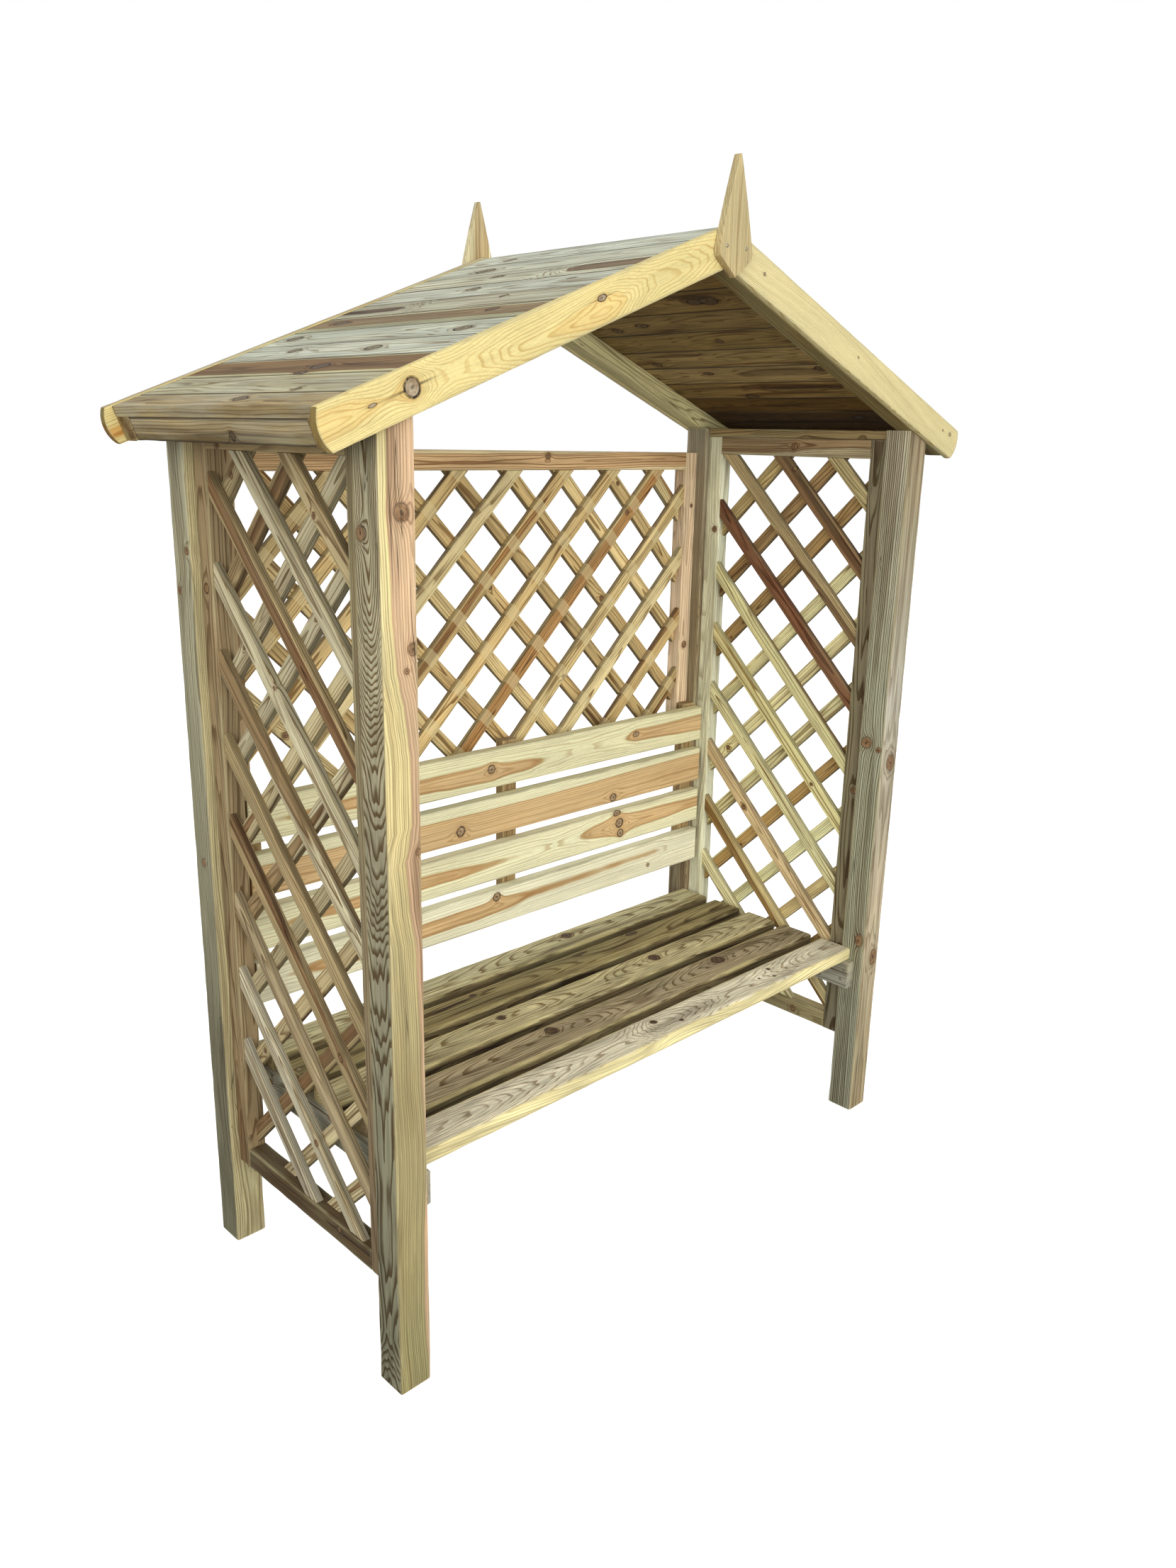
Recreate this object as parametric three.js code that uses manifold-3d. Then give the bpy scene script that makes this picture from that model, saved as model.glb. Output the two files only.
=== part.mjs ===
// Timber arbour seat. Four posts carry a gabled roof, trellis panels close the two sides and the back,
// and a slatted bench with a slatted backrest stands between the posts.
// Millimetres. X runs across the front, Y to the rear and Z up. The origin lies on the ground,
// midway between the four posts.
import * as THREE from 'three';
import { mergeVertices } from 'three/addons/utils/BufferGeometryUtils.js';
import Module from 'manifold-3d';

const wasm = await Module();
wasm.setup();

// Fits
const jointGap = 0.3; // hairline left where two timbers meet
const cutOverrun = 40; // how far a cutting block runs past what it cuts

// Posts
const postSide = 70; // square section
const acrossPosts = 1574; // outer face to outer face, left to right
const depthOverPosts = 696; // outer face to outer face, front to rear
const postEase = 3; // radius of the eased arrises

// Roof
const ridgeHeight = 2151; // top edge of the bargeboards where they meet
const roofPitch = THREE.MathUtils.degToRad(21.3);
const eavesOverhang = 100; // level, from the posts' outer faces to the boards' lower edge
const roofBoardCount = 11; // on each slope
const roofBoardThickness = 20;
const roofBoardDrop = 3; // the boards lie this far below the bargeboards' top edge
const boardJointWidth = 1; // open top of the joint between two matched boards
const boardJointDepth = 6; // down to the tongue
const boardVee = 3; // chamfer along a board's lower arrises
const bargeboardWidth = 70;
const bargeboardThickness = 16;
const bargeboardReach = 13; // past the boards' lower edge
const bargeboardBulge = 12; // how far the rounded lower end stands out
const bargeboardEase = 2;
const rafterDepth = 45; // square to the slope
const rafterWidth = 45; // front to rear
const rafterEase = 2;
const eavesBoardDepth = 45;
const eavesBoardThickness = 20;
const eavesBoardSetback = 2; // behind the rafters' lower ends

// Finials
const finialHalfWidth = 47.5;
const finialThickness = 16;
const finialHeight = 209;
const finialBelowRidge = 94; // from the ridge down to the lower point
const finialShoulderHeight = 46; // from the lower point up to the full width
const finialTipHalfWidth = 2.5;
const finialEase = 1;

// Trellis panels
const panelThickness = 41;
const panelStileWidth = 45;
const panelRailWidth = 45;
const lathWidth = 34.5;
const lathThickness = 17;
const lathPitch = 118.5; // between centre lines, square to the laths
const lathBite = 0.5; // how far crossing laths are pressed into each other
const sidePanelLift = 206; // above the ground
const sidePlateDrop = 30; // from the roof boards down to the wall plate, at its outer face
const sidePanelInset = 18; // behind the posts' outer faces
const sideOuterLathOffset = 77; // of one lath's centre line from the panel's centre
const sideInnerLathOffset = 21;
const backPanelDrop = 66; // from the rafters down to the top rail, beside the posts
const backPanelLap = 72; // how far the panel reaches down behind the backrest
const backFrontLathOffset = -42;
const backRearLathOffset = 42;
const wallPlateThickness = 21;

// Bench
const seatHeight = 470;
const seatBoardWidth = 95;
const seatBoardThickness = 33;
const seatBoardLeastGap = 20; // as many boards as leave this between them
const seatFrontInset = 43; // from the front posts' front faces to the front board
const seatRearInset = 58; // from the rear posts' rear faces to the rear board
const seatEndClearance = 0.6; // at each end of a board
const seatBearerThickness = 27;
const seatBearerDepth = 72;
const seatBearerInset = 28; // from the posts' outer faces to the bearer's ends

// Backrest
const slatCount = 4;
const slatWidth = 95;
const slatThickness = 30;
const slatGap = 26;
const backrestLift = 106; // from the seat up to the lowest slat
const battenWidth = 45;
const battenStandUp = 8; // above the top slat
const middleBattenOffset = 20; // to the right of the middle

// Arrises of the smaller timbers
const timberEase = 2;
const easeSegments = 2;
const curveSegments = 8;

// Weathered tones of pressure-treated pine
const tones = {
  greenGrey: 0x9a9474,
  tan: 0xb59a6b,
  goldenYellow: 0xe0c47c,
  paleCream: 0xddcf9e,
  reddishBrown: 0x94704c,
  darkBrown: 0x6e5b3f,
  oliveBrown: 0x877a56,
  silverGrey: 0xa8a58e,
};
const timberRoughness = 0.8;

// Sizes that follow from the ones above
const postOuterX = acrossPosts / 2;
const postOuterY = depthOverPosts / 2;
const postInnerX = postOuterX - postSide;
const postInnerY = postOuterY - postSide;
const roofSlopeLength = (postOuterX + eavesOverhang) / Math.cos(roofPitch);
const boardUndersideInward = roofBoardDrop + roofBoardThickness;
const rafterTopInward = boardUndersideInward + jointGap;
const rafterUndersideInward = rafterTopInward + rafterDepth;
const rafterInnerY = postOuterY - rafterWidth;
const slatStep = slatWidth + slatGap;
const backrestFoot = seatHeight + backrestLift;
const backrestTop = backrestFoot + slatCount * slatStep - slatGap;

const arbour = new THREE.Group();

const unitX = new THREE.Vector3(1, 0, 0);
const unitY = new THREE.Vector3(0, 1, 0);
const unitZ = new THREE.Vector3(0, 0, 1);

// Turns a section drawn in the plane of the first two axes, and extruded along the third, so that
// its length lies along the named axis.
const grainTurns = {
  x: new THREE.Matrix4().makeBasis(unitY, unitZ, unitX),
  y: new THREE.Matrix4().makeBasis(unitZ, unitX, unitY),
  z: new THREE.Matrix4(),
};

// Stands an outline drawn in the first two axes upright in the gable's plane, extruded to the front.
const uprightTurn = new THREE.Matrix4().makeBasis(unitX, unitZ, unitY.clone().negate());

function addPiece(parent, name, geometry, tone, place = [0, 0, 0]) {
  const material = new THREE.MeshStandardMaterial({ color: tone, roughness: timberRoughness, metalness: 0 });
  const mesh = new THREE.Mesh(geometry, material);
  mesh.name = name;
  mesh.position.set(...place);
  parent.add(mesh);
  return mesh;
}

function easedRectangle(width, height, ease) {
  const right = width / 2 - ease;
  const top = height / 2 - ease;
  const shape = new THREE.Shape();
  shape.absarc(right, top, ease, 0, Math.PI / 2);
  shape.absarc(-right, top, ease, Math.PI / 2, Math.PI);
  shape.absarc(-right, -top, ease, Math.PI, 1.5 * Math.PI);
  shape.absarc(right, -top, ease, 1.5 * Math.PI, 2 * Math.PI);
  return shape;
}

// A straight timber about its own centre, with its four long arrises eased.
function timber(sizeX, sizeY, sizeZ, along, ease = timberEase) {
  const sections = {
    x: [sizeY, sizeZ, sizeX],
    y: [sizeZ, sizeX, sizeY],
    z: [sizeX, sizeY, sizeZ],
  };
  const [width, height, length] = sections[along];
  const geometry = new THREE.ExtrudeGeometry(easedRectangle(width, height, ease), {
    depth: length,
    bevelEnabled: false,
    curveSegments: easeSegments,
  });
  geometry.translate(0, 0, -length / 2);
  return geometry.applyMatrix4(grainTurns[along]);
}

function solidOf(geometry) {
  const bare = new THREE.BufferGeometry();
  bare.setAttribute('position', geometry.getAttribute('position'));
  if (geometry.index) bare.setIndex(geometry.index);
  const merged = mergeVertices(bare);
  const mesh = new wasm.Mesh({
    numProp: 3,
    vertProperties: merged.attributes.position.array,
    triVerts: new Uint32Array(merged.index.array),
  });
  return new wasm.Manifold(mesh);
}

function geometryOf(solid) {
  const mesh = solid.getMesh();
  const geometry = new THREE.BufferGeometry();
  geometry.setAttribute('position', new THREE.BufferAttribute(mesh.vertProperties, mesh.numProp));
  geometry.setIndex(new THREE.BufferAttribute(mesh.triVerts, 1));
  return geometry.toNonIndexed();
}

// A point in the gable's plane: so far down the slope from the ridge, and so far in from the
// bargeboard's top edge, square to it.
function onSlope(down, inward) {
  return new THREE.Vector2(
    down * Math.cos(roofPitch) - inward * Math.sin(roofPitch),
    ridgeHeight - down * Math.sin(roofPitch) - inward * Math.cos(roofPitch),
  );
}

// Where the plumb cut at the ridge crosses a line that lies so far inward.
function ridgeCut(inward) {
  return (inward * Math.sin(roofPitch) + jointGap / 2) / Math.cos(roofPitch);
}

function heightUnderSlope(x, inward) {
  return ridgeHeight - x * Math.tan(roofPitch) - inward / Math.cos(roofPitch);
}

// A flat piece cut to an outline in the gable's plane. Side is 1 for the right slope, -1 for the left.
function gablePiece(outline, side, thickness, ease) {
  const points = outline.map((point) => new THREE.Vector2(side * point.x, point.y));
  const geometry = new THREE.ExtrudeGeometry(new THREE.Shape(points), {
    depth: thickness - 2 * ease,
    bevelEnabled: ease > 0,
    bevelThickness: ease,
    bevelSize: ease,
    bevelOffset: -ease,
    bevelSegments: 1,
  });
  geometry.translate(0, 0, ease - thickness / 2);
  return geometry.applyMatrix4(uprightTurn);
}

function addPosts() {
  const postGroup = new THREE.Group();
  arbour.add(postGroup);
  const topInward = rafterUndersideInward + jointGap;
  const centreX = postInnerX + postSide / 2;
  const centreY = postInnerY + postSide / 2;
  const blankHeight = heightUnderSlope(postInnerX, topInward) + cutOverrun / 2;
  const cutSize = 2 * (postSide + cutOverrun);
  for (const [sideName, side] of [['left', -1], ['right', 1]]) {
    for (const [endName, end] of [['front', -1], ['rear', 1]]) {
      const blank = timber(postSide, postSide, blankHeight, 'z', postEase);
      blank.translate(0, 0, blankHeight / 2);
      const waste = new THREE.BoxGeometry(cutSize, cutSize, cutSize);
      waste.translate(0, 0, cutSize / 2);
      waste.rotateY(side * roofPitch);
      waste.translate(0, 0, heightUnderSlope(centreX, topInward));
      const cut = geometryOf(solidOf(blank).subtract(solidOf(waste)));
      const tone = side < 0 && end < 0 ? tones.tan : tones.greenGrey;
      addPiece(postGroup, `post_${endName}_${sideName}`, cut, tone, [side * centreX, end * centreY, 0]);
    }
  }
}

// Keeps the part of an outline on one side of a line, where the measure isn't negative.
function clipOutline(points, measure) {
  const kept = [];
  points.forEach((point, index) => {
    const next = points[(index + 1) % points.length];
    const here = measure(point);
    const there = measure(next);
    if (here >= 0) kept.push(point);
    if (here * there < 0) kept.push(point.clone().lerp(next, here / (here - there)));
  });
  return kept;
}

// Outlines of one layer of diagonal laths, each cut off where it meets the panel's frame.
// Rise is 1 where the laths climb to the right and -1 where they fall. A corner piece too short to
// be sure of crossing a lath of the other layer is left out.
function lathOutlines(openingWidth, openingHeight, rise, offset) {
  const right = openingWidth / 2 - jointGap;
  const top = openingHeight / 2 - jointGap;
  const corners = [[-right, -top], [right, -top], [right, top], [-right, top]];
  const opening = corners.map(([x, y]) => new THREE.Vector2(x, y));
  const across = (point) => (point.y - rise * point.x) * Math.SQRT1_2;
  const farthest = (right + top) * Math.SQRT1_2 - lathPitch / 2;
  const firstStep = Math.ceil((-farthest - offset) / lathPitch);
  const lastStep = Math.floor((farthest - offset) / lathPitch);
  const outlines = [];
  for (let step = firstStep; step <= lastStep; step += 1) {
    const centre = offset + step * lathPitch;
    const above = clipOutline(opening, (point) => across(point) - centre + lathWidth / 2);
    outlines.push(clipOutline(above, (point) => centre + lathWidth / 2 - across(point)));
  }
  return outlines;
}

// Both layers of a panel's laths, nailed together where they cross.
function lattice(openingWidth, openingHeight, layers) {
  const laths = layers.flatMap((layer) => {
    const lowFace = layer.outer ? -lathBite / 2 : lathBite / 2 - lathThickness;
    const outlines = lathOutlines(openingWidth, openingHeight, layer.rise, layer.offset);
    return outlines.map((points) => {
      const lath = new THREE.ExtrudeGeometry(new THREE.Shape(points), {
        depth: lathThickness,
        bevelEnabled: false,
      });
      return solidOf(lath.translate(0, 0, lowFace));
    });
  });
  return geometryOf(laths.reduce((joined, lath) => joined.add(lath)));
}

// A trellis panel about its own centre: width along the group's X, height along its Y, and its
// outer face towards its Z.
function trellisPanel(name, width, height, stileNames, layers, panelTones) {
  const panel = new THREE.Group();
  const openingWidth = width - 2 * panelStileWidth;
  const openingHeight = height - 2 * panelRailWidth;
  const railLength = openingWidth - 2 * jointGap;
  const stileX = (width - panelStileWidth) / 2;
  const railY = (height - panelRailWidth) / 2;
  stileNames.forEach((stileName, index) => {
    const stile = timber(panelStileWidth, height, panelThickness, 'y');
    const place = [index === 0 ? -stileX : stileX, 0, 0];
    addPiece(panel, `${name}_${stileName}`, stile, panelTones.stiles, place);
  });
  for (const [railName, sign] of [['bottom_rail', -1], ['top_rail', 1]]) {
    const rail = timber(railLength, panelRailWidth, panelThickness, 'x');
    addPiece(panel, `${name}_${railName}`, rail, panelTones.rails, [0, sign * railY, 0]);
  }
  addPiece(panel, `${name}_laths`, lattice(openingWidth, openingHeight, layers), panelTones.laths);
  arbour.add(panel);
  return panel;
}

function addSidePanels() {
  const width = 2 * (postInnerY - jointGap);
  const outerX = postOuterX - sidePanelInset;
  const centreX = outerX - panelThickness / 2;
  const plateTop = heightUnderSlope(outerX, boardUndersideInward) - sidePlateDrop;
  const plateZ = plateTop - wallPlateThickness / 2;
  const height = plateTop - wallPlateThickness - jointGap - sidePanelLift;
  const centreZ = sidePanelLift + height / 2;
  for (const [sideName, side] of [['left', -1], ['right', 1]]) {
    const stileNames = side > 0 ? ['front_stile', 'rear_stile'] : ['rear_stile', 'front_stile'];
    const layers = [
      { outer: true, rise: -1, offset: sideOuterLathOffset },
      { outer: false, rise: 1, offset: sideInnerLathOffset },
    ];
    const panelTones = { stiles: tones.oliveBrown, rails: tones.darkBrown, laths: tones.tan };
    const panel = trellisPanel(`${sideName}_panel`, width, height, stileNames, layers, panelTones);
    const across = unitY.clone().multiplyScalar(side);
    const outward = unitX.clone().multiplyScalar(side);
    panel.setRotationFromMatrix(new THREE.Matrix4().makeBasis(across, unitZ, outward));
    panel.position.set(side * centreX, 0, centreZ);
    const plate = timber(panelThickness, width, wallPlateThickness, 'y');
    addPiece(arbour, `wall_plate_${sideName}`, plate, tones.darkBrown, [side * centreX, 0, plateZ]);
  }
}

function addBackPanel() {
  const width = 2 * (postInnerX - jointGap);
  const top = heightUnderSlope(postInnerX, rafterUndersideInward) - backPanelDrop;
  const height = top - backrestTop + backPanelLap;
  const layers = [
    { outer: true, rise: 1, offset: backFrontLathOffset },
    { outer: false, rise: -1, offset: backRearLathOffset },
  ];
  const panelTones = { stiles: tones.tan, rails: tones.reddishBrown, laths: tones.tan };
  const stileNames = ['left_stile', 'right_stile'];
  const panel = trellisPanel('back_panel', width, height, stileNames, layers, panelTones);
  panel.setRotationFromMatrix(uprightTurn);
  panel.position.set(0, postOuterY - panelThickness / 2, top - height / 2);
}

// The section of one slope's matched boards, tongued into each other: a narrow joint shows on top
// and a vee below at each one. The uppermost ends in a plumb cut at the ridge.
function roofBoardsOutline() {
  const cover = roofSlopeLength / roofBoardCount;
  const top = roofBoardDrop;
  const under = boardUndersideInward;
  const upperSide = [[ridgeCut(top), top]];
  const lowerSide = [[ridgeCut(under), under]];
  for (let joint = 1; joint < roofBoardCount; joint += 1) {
    const middle = joint * cover;
    const half = boardJointWidth / 2;
    upperSide.push([middle - half, top], [middle - half, top + boardJointDepth]);
    upperSide.push([middle + half, top + boardJointDepth], [middle + half, top]);
    lowerSide.push([middle - boardVee, under], [middle, under - boardVee], [middle + boardVee, under]);
  }
  upperSide.push([roofSlopeLength, top]);
  lowerSide.push([roofSlopeLength, under]);
  return [...upperSide, ...lowerSide.reverse()].map(([down, inward]) => onSlope(down, inward));
}

function bargeboardOutline() {
  const half = bargeboardWidth / 2;
  const endRadius = (half * half + bargeboardBulge * bargeboardBulge) / (2 * bargeboardBulge);
  const endAngle = Math.asin(half / endRadius);
  const length = roofSlopeLength + bargeboardReach;
  const lowerEnd = new THREE.Path();
  lowerEnd.absarc(length - endRadius * Math.cos(endAngle), half, endRadius, -endAngle, endAngle);
  const corners = lowerEnd.getPoints(curveSegments).map((point) => onSlope(point.x, point.y));
  corners.push(onSlope(ridgeCut(bargeboardWidth), bargeboardWidth));
  corners.unshift(onSlope(ridgeCut(0), 0));
  return corners;
}

function rafterOutline() {
  return [
    onSlope(ridgeCut(rafterTopInward), rafterTopInward),
    onSlope(roofSlopeLength, rafterTopInward),
    onSlope(roofSlopeLength, rafterUndersideInward),
    onSlope(ridgeCut(rafterUndersideInward), rafterUndersideInward),
  ];
}

function eavesBoardOutline() {
  const lower = roofSlopeLength - eavesBoardSetback;
  const upper = lower - eavesBoardThickness;
  return [
    onSlope(upper, rafterTopInward),
    onSlope(lower, rafterTopInward),
    onSlope(lower, rafterTopInward + eavesBoardDepth),
    onSlope(upper, rafterTopInward + eavesBoardDepth),
  ];
}

function addRoof() {
  const roof = new THREE.Group();
  arbour.add(roof);
  const boardLength = depthOverPosts - 2 * jointGap;
  const eavesBoardLength = 2 * (rafterInnerY - jointGap);
  const rafterY = postOuterY - rafterWidth / 2;
  const bargeboardY = postOuterY + jointGap + bargeboardThickness / 2;
  for (const [sideName, side] of [['left', -1], ['right', 1]]) {
    const boards = gablePiece(roofBoardsOutline(), side, boardLength, 0);
    addPiece(roof, `roof_boards_${sideName}`, boards, tones.silverGrey);
    const eavesBoard = gablePiece(eavesBoardOutline(), side, eavesBoardLength, timberEase);
    addPiece(roof, `eaves_board_${sideName}`, eavesBoard, tones.oliveBrown);
    for (const [endName, end] of [['front', -1], ['rear', 1]]) {
      const rafter = gablePiece(rafterOutline(), side, rafterWidth, rafterEase);
      addPiece(roof, `rafter_${endName}_${sideName}`, rafter, tones.tan, [0, end * rafterY, 0]);
      const bargeboard = gablePiece(bargeboardOutline(), side, bargeboardThickness, bargeboardEase);
      const tone = side < 0 ? tones.goldenYellow : tones.paleCream;
      addPiece(roof, `bargeboard_${endName}_${sideName}`, bargeboard, tone, [0, end * bargeboardY, 0]);
    }
  }
}

// A spear head: a blunt point below, rounded shoulders and long, slightly full sides that draw in
// to a narrow tip.
function finialOutline() {
  const shoulderStartShares = [0.88, 0.68]; // where the lower edge ends, of half width and shoulder height
  const sideFullnessShares = [0.6, 0.5]; // the long side's control point, of half width and taper
  const half = finialHalfWidth;
  const taper = finialHeight - finialShoulderHeight;
  const shape = new THREE.Shape();
  shape.moveTo(0, 0);
  shape.lineTo(shoulderStartShares[0] * half, shoulderStartShares[1] * finialShoulderHeight);
  shape.quadraticCurveTo(
    half,
    (shoulderStartShares[1] * finialShoulderHeight) / shoulderStartShares[0],
    half,
    finialShoulderHeight,
  );
  shape.quadraticCurveTo(
    sideFullnessShares[0] * half,
    finialShoulderHeight + sideFullnessShares[1] * taper,
    finialTipHalfWidth,
    finialHeight,
  );
  const right = shape.getPoints(curveSegments);
  const left = right.slice(1).reverse().map((point) => new THREE.Vector2(-point.x, point.y));
  const foot = ridgeHeight - finialBelowRidge;
  return [...right, ...left].map((point) => new THREE.Vector2(point.x, point.y + foot));
}

function addFinials() {
  const centreY = postOuterY + bargeboardThickness + finialThickness / 2 + 2 * jointGap;
  for (const [endName, end] of [['front', -1], ['rear', 1]]) {
    const finial = gablePiece(finialOutline(), 1, finialThickness, finialEase);
    addPiece(arbour, `finial_${endName}`, finial, tones.tan, [0, end * centreY, 0]);
  }
}

function addBench() {
  const bench = new THREE.Group();
  arbour.add(bench);
  const boardLength = 2 * (postInnerX - seatEndClearance);
  const rearCentreY = postOuterY - seatRearInset - seatBoardWidth / 2;
  const frontCentreY = seatFrontInset + seatBoardWidth / 2 - postOuterY;
  const gapCount = Math.floor((rearCentreY - frontCentreY) / (seatBoardWidth + seatBoardLeastGap));
  for (let index = 0; index <= gapCount; index += 1) {
    const board = timber(boardLength, seatBoardWidth, seatBoardThickness, 'x');
    const centreY = THREE.MathUtils.lerp(rearCentreY, frontCentreY, index / gapCount);
    const place = [0, centreY, seatHeight - seatBoardThickness / 2];
    addPiece(bench, `seat_board_${index + 1}`, board, tones.oliveBrown, place);
  }
  const bearerLength = 2 * (postOuterY - seatBearerInset);
  const bearerTop = seatHeight - seatBoardThickness - jointGap;
  for (const [sideName, side] of [['left', -1], ['right', 1]]) {
    const bearer = timber(seatBearerThickness, bearerLength, seatBearerDepth, 'y');
    const centreX = side * (postInnerX - jointGap - seatBearerThickness / 2);
    const place = [centreX, 0, bearerTop - seatBearerDepth / 2];
    addPiece(bench, `seat_bearer_${sideName}`, bearer, tones.greenGrey, place);
  }
}

function addBackrest() {
  const backrest = new THREE.Group();
  arbour.add(backrest);
  const battenRear = postOuterY - panelThickness - jointGap;
  const battenThickness = battenRear - postInnerY - jointGap;
  const battenFront = battenRear - battenThickness;
  const slatLength = 2 * (postInnerX - seatEndClearance);
  const slatCentreY = battenFront - jointGap - slatThickness / 2;
  for (let index = 0; index < slatCount; index += 1) {
    const slat = timber(slatLength, slatThickness, slatWidth, 'x');
    const centreZ = backrestTop - slatWidth / 2 - index * slatStep;
    addPiece(backrest, `backrest_slat_${index + 1}`, slat, tones.paleCream, [0, slatCentreY, centreZ]);
  }
  const battenTop = backrestTop + battenStandUp;
  const endX = postInnerX - jointGap - battenWidth / 2;
  const places = [['left', -endX], ['middle', middleBattenOffset], ['right', endX]];
  for (const [name, x] of places) {
    const batten = timber(battenWidth, battenThickness, battenTop - backrestFoot, 'z');
    const place = [x, battenFront + battenThickness / 2, (battenTop + backrestFoot) / 2];
    addPiece(backrest, `backrest_batten_${name}`, batten, tones.tan, place);
  }
}

addPosts();
addSidePanels();
addBackPanel();
addRoof();
addFinials();
addBench();
addBackrest();

export default arbour;
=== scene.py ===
# Arbour seat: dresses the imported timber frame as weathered, pressure treated pine.
import math
import random
import bmesh
import bpy
from mathutils import Matrix, Vector, noise


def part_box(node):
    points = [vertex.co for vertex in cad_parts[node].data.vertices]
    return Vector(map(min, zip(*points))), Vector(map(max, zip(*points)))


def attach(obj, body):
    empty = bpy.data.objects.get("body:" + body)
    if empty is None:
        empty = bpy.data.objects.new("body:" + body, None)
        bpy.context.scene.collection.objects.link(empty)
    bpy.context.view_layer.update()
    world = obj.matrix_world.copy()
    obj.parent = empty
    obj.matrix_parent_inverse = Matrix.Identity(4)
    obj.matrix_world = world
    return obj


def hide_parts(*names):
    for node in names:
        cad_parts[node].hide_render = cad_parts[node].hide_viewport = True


print("loading the frame")
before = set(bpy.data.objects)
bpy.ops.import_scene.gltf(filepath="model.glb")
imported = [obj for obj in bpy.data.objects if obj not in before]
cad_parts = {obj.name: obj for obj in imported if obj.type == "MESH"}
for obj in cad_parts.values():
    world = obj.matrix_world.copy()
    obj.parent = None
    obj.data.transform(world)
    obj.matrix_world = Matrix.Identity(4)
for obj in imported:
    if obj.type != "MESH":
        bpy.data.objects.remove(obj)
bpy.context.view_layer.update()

xAxis, yAxis, zAxis = Vector((1, 0, 0)), Vector((0, 1, 0)), Vector((0, 0, 1))
bothSides = (("left", -1), ("right", 1))
jointGap = 0.0003  # hairline that the frame leaves where two timbers meet
knotSlots = 5  # knots that one timber can show
farAway = 60.0  # where an unused knot is parked, in knot radii


def tone(code):
    # a screen colour such as "#d8c48a", as the linear values that a shader takes
    if not isinstance(code, str):
        return code
    parts = [int(code[place:place + 2], 16) / 255 for place in (1, 3, 5)]
    linear = [part / 12.92 if part <= 0.04045 else ((part + 0.055) / 1.055) ** 2.4 for part in parts]
    return (*linear, 1.0)


def shade(colour, amount):
    return tuple(min(1.0, part * amount) for part in tone(colour)[:3]) + (1.0,)


def openTree(owner):
    # the node helpers below add to the material or world that was opened last
    global tree
    owner.use_nodes = True
    tree = owner.node_tree
    tree.nodes.clear()
    return owner


def newNode(kind, **settings):
    node = tree.nodes.new(f"ShaderNode{kind}")
    for name, value in settings.items():
        setattr(node, name, value)
    return node


def feed(socket, value):
    # a socket takes another node's output, a screen colour or a plain value
    if isinstance(value, bpy.types.NodeSocket):
        tree.links.new(value, socket)
    else:
        socket.default_value = tone(value)


def wire(node, *values):
    # feeds a node's sockets in their order
    for socket, value in zip(node.inputs, values):
        feed(socket, value)
    return node


def setSockets(node, sockets):
    # feeds a node's sockets by their names
    for name, value in sockets.items():
        feed(node.inputs[name], value)
    return node


def sums(operation, *values, clamp=False):
    return wire(newNode("Math", operation=operation, use_clamp=clamp), *values).outputs[0]


def times(first, *others):
    for other in others:
        first = sums("MULTIPLY", first, other)
    return first


def vectors(operation, *values):
    node = wire(newNode("VectorMath", operation=operation), *values)
    return node.outputs["Value" if operation in ("LENGTH", "DOT_PRODUCT") else "Vector"]


def parted(value):
    return wire(newNode("SeparateXYZ"), value).outputs


def newGrey(value):
    return wire(newNode("CombineColor"), value, value, value).outputs[0]


def blend(factor, first, second, mode="MIX"):
    node = newNode("Mix", data_type="RGBA", blend_type=mode)
    for place, value in ((0, factor), (6, first), (7, second)):
        feed(node.inputs[place], value)
    return node.outputs[2]


def tinted(colour, tint):
    return blend(1.0, colour, tint, "MULTIPLY")


def ramp(value, low, high, first=0.0, last=1.0):
    node = newNode("MapRange", interpolation_type="SMOOTHSTEP")
    return wire(node, value, low, high, first, last).outputs[0]


def grainNoise(place, along, across, detail=2.0, roughness=0.5, output=0):
    # noise with its own pace along the grain and across it, per metre
    place = vectors("MULTIPLY", place, (along, across, across))
    sockets = {"Vector": place, "Scale": 1.0, "Detail": detail, "Roughness": roughness}
    return setSockets(newNode("TexNoise"), sockets).outputs[output]


def attribute(name, output="Vector"):
    return newNode("Attribute", attribute_name=name).outputs[output]


def finishShader(shader, height, strength, distance):
    bump = setSockets(newNode("Bump"), {"Strength": strength, "Distance": distance, "Height": height})
    feed(shader.inputs["Normal"], bump.outputs[0])
    wire(newNode("OutputMaterial"), shader.outputs[0])


pine = {
    # small bends of the trunk's heart, and how many of them in a metre along the grain and across it
    "stray": 0.007, "strayPaces": (5.0, 2.5), "ripple": 0.001, "ripplePaces": (13.0, 38.0),
    "lateTint": (0.31, 0.22, 0.135), "lateFrom": 0.56,  # latewood's tint, and its start within a ring
    "seam": 0.45, "streaks": 0.17, "cloud": 0.16, "pores": 0.35, "stain": "#8a6a42",
    "knotTone": "#6a4a30", "knotHeart": "#a58259", "barkTone": "#20160e", "bark": 0.8,
    "halo": 0.22, "haloTone": "#c39a72", "tail": 0.3, "tailLength": 3.2, "crackTone": "#2a2013",
    "endDark": 0.4, "endTone": "#b89a6c", "edgeWear": 0.35, "edgeTone": "#d9cc9c",
    "roughness": 0.66, "gloss": 0.28, "bump": 0.7,
    "fibreBump": 0.00022, "ringBump": 0.0003, "crackBump": 0.0012, "barkBump": 0.0005,  # heights in metres
}


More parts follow.
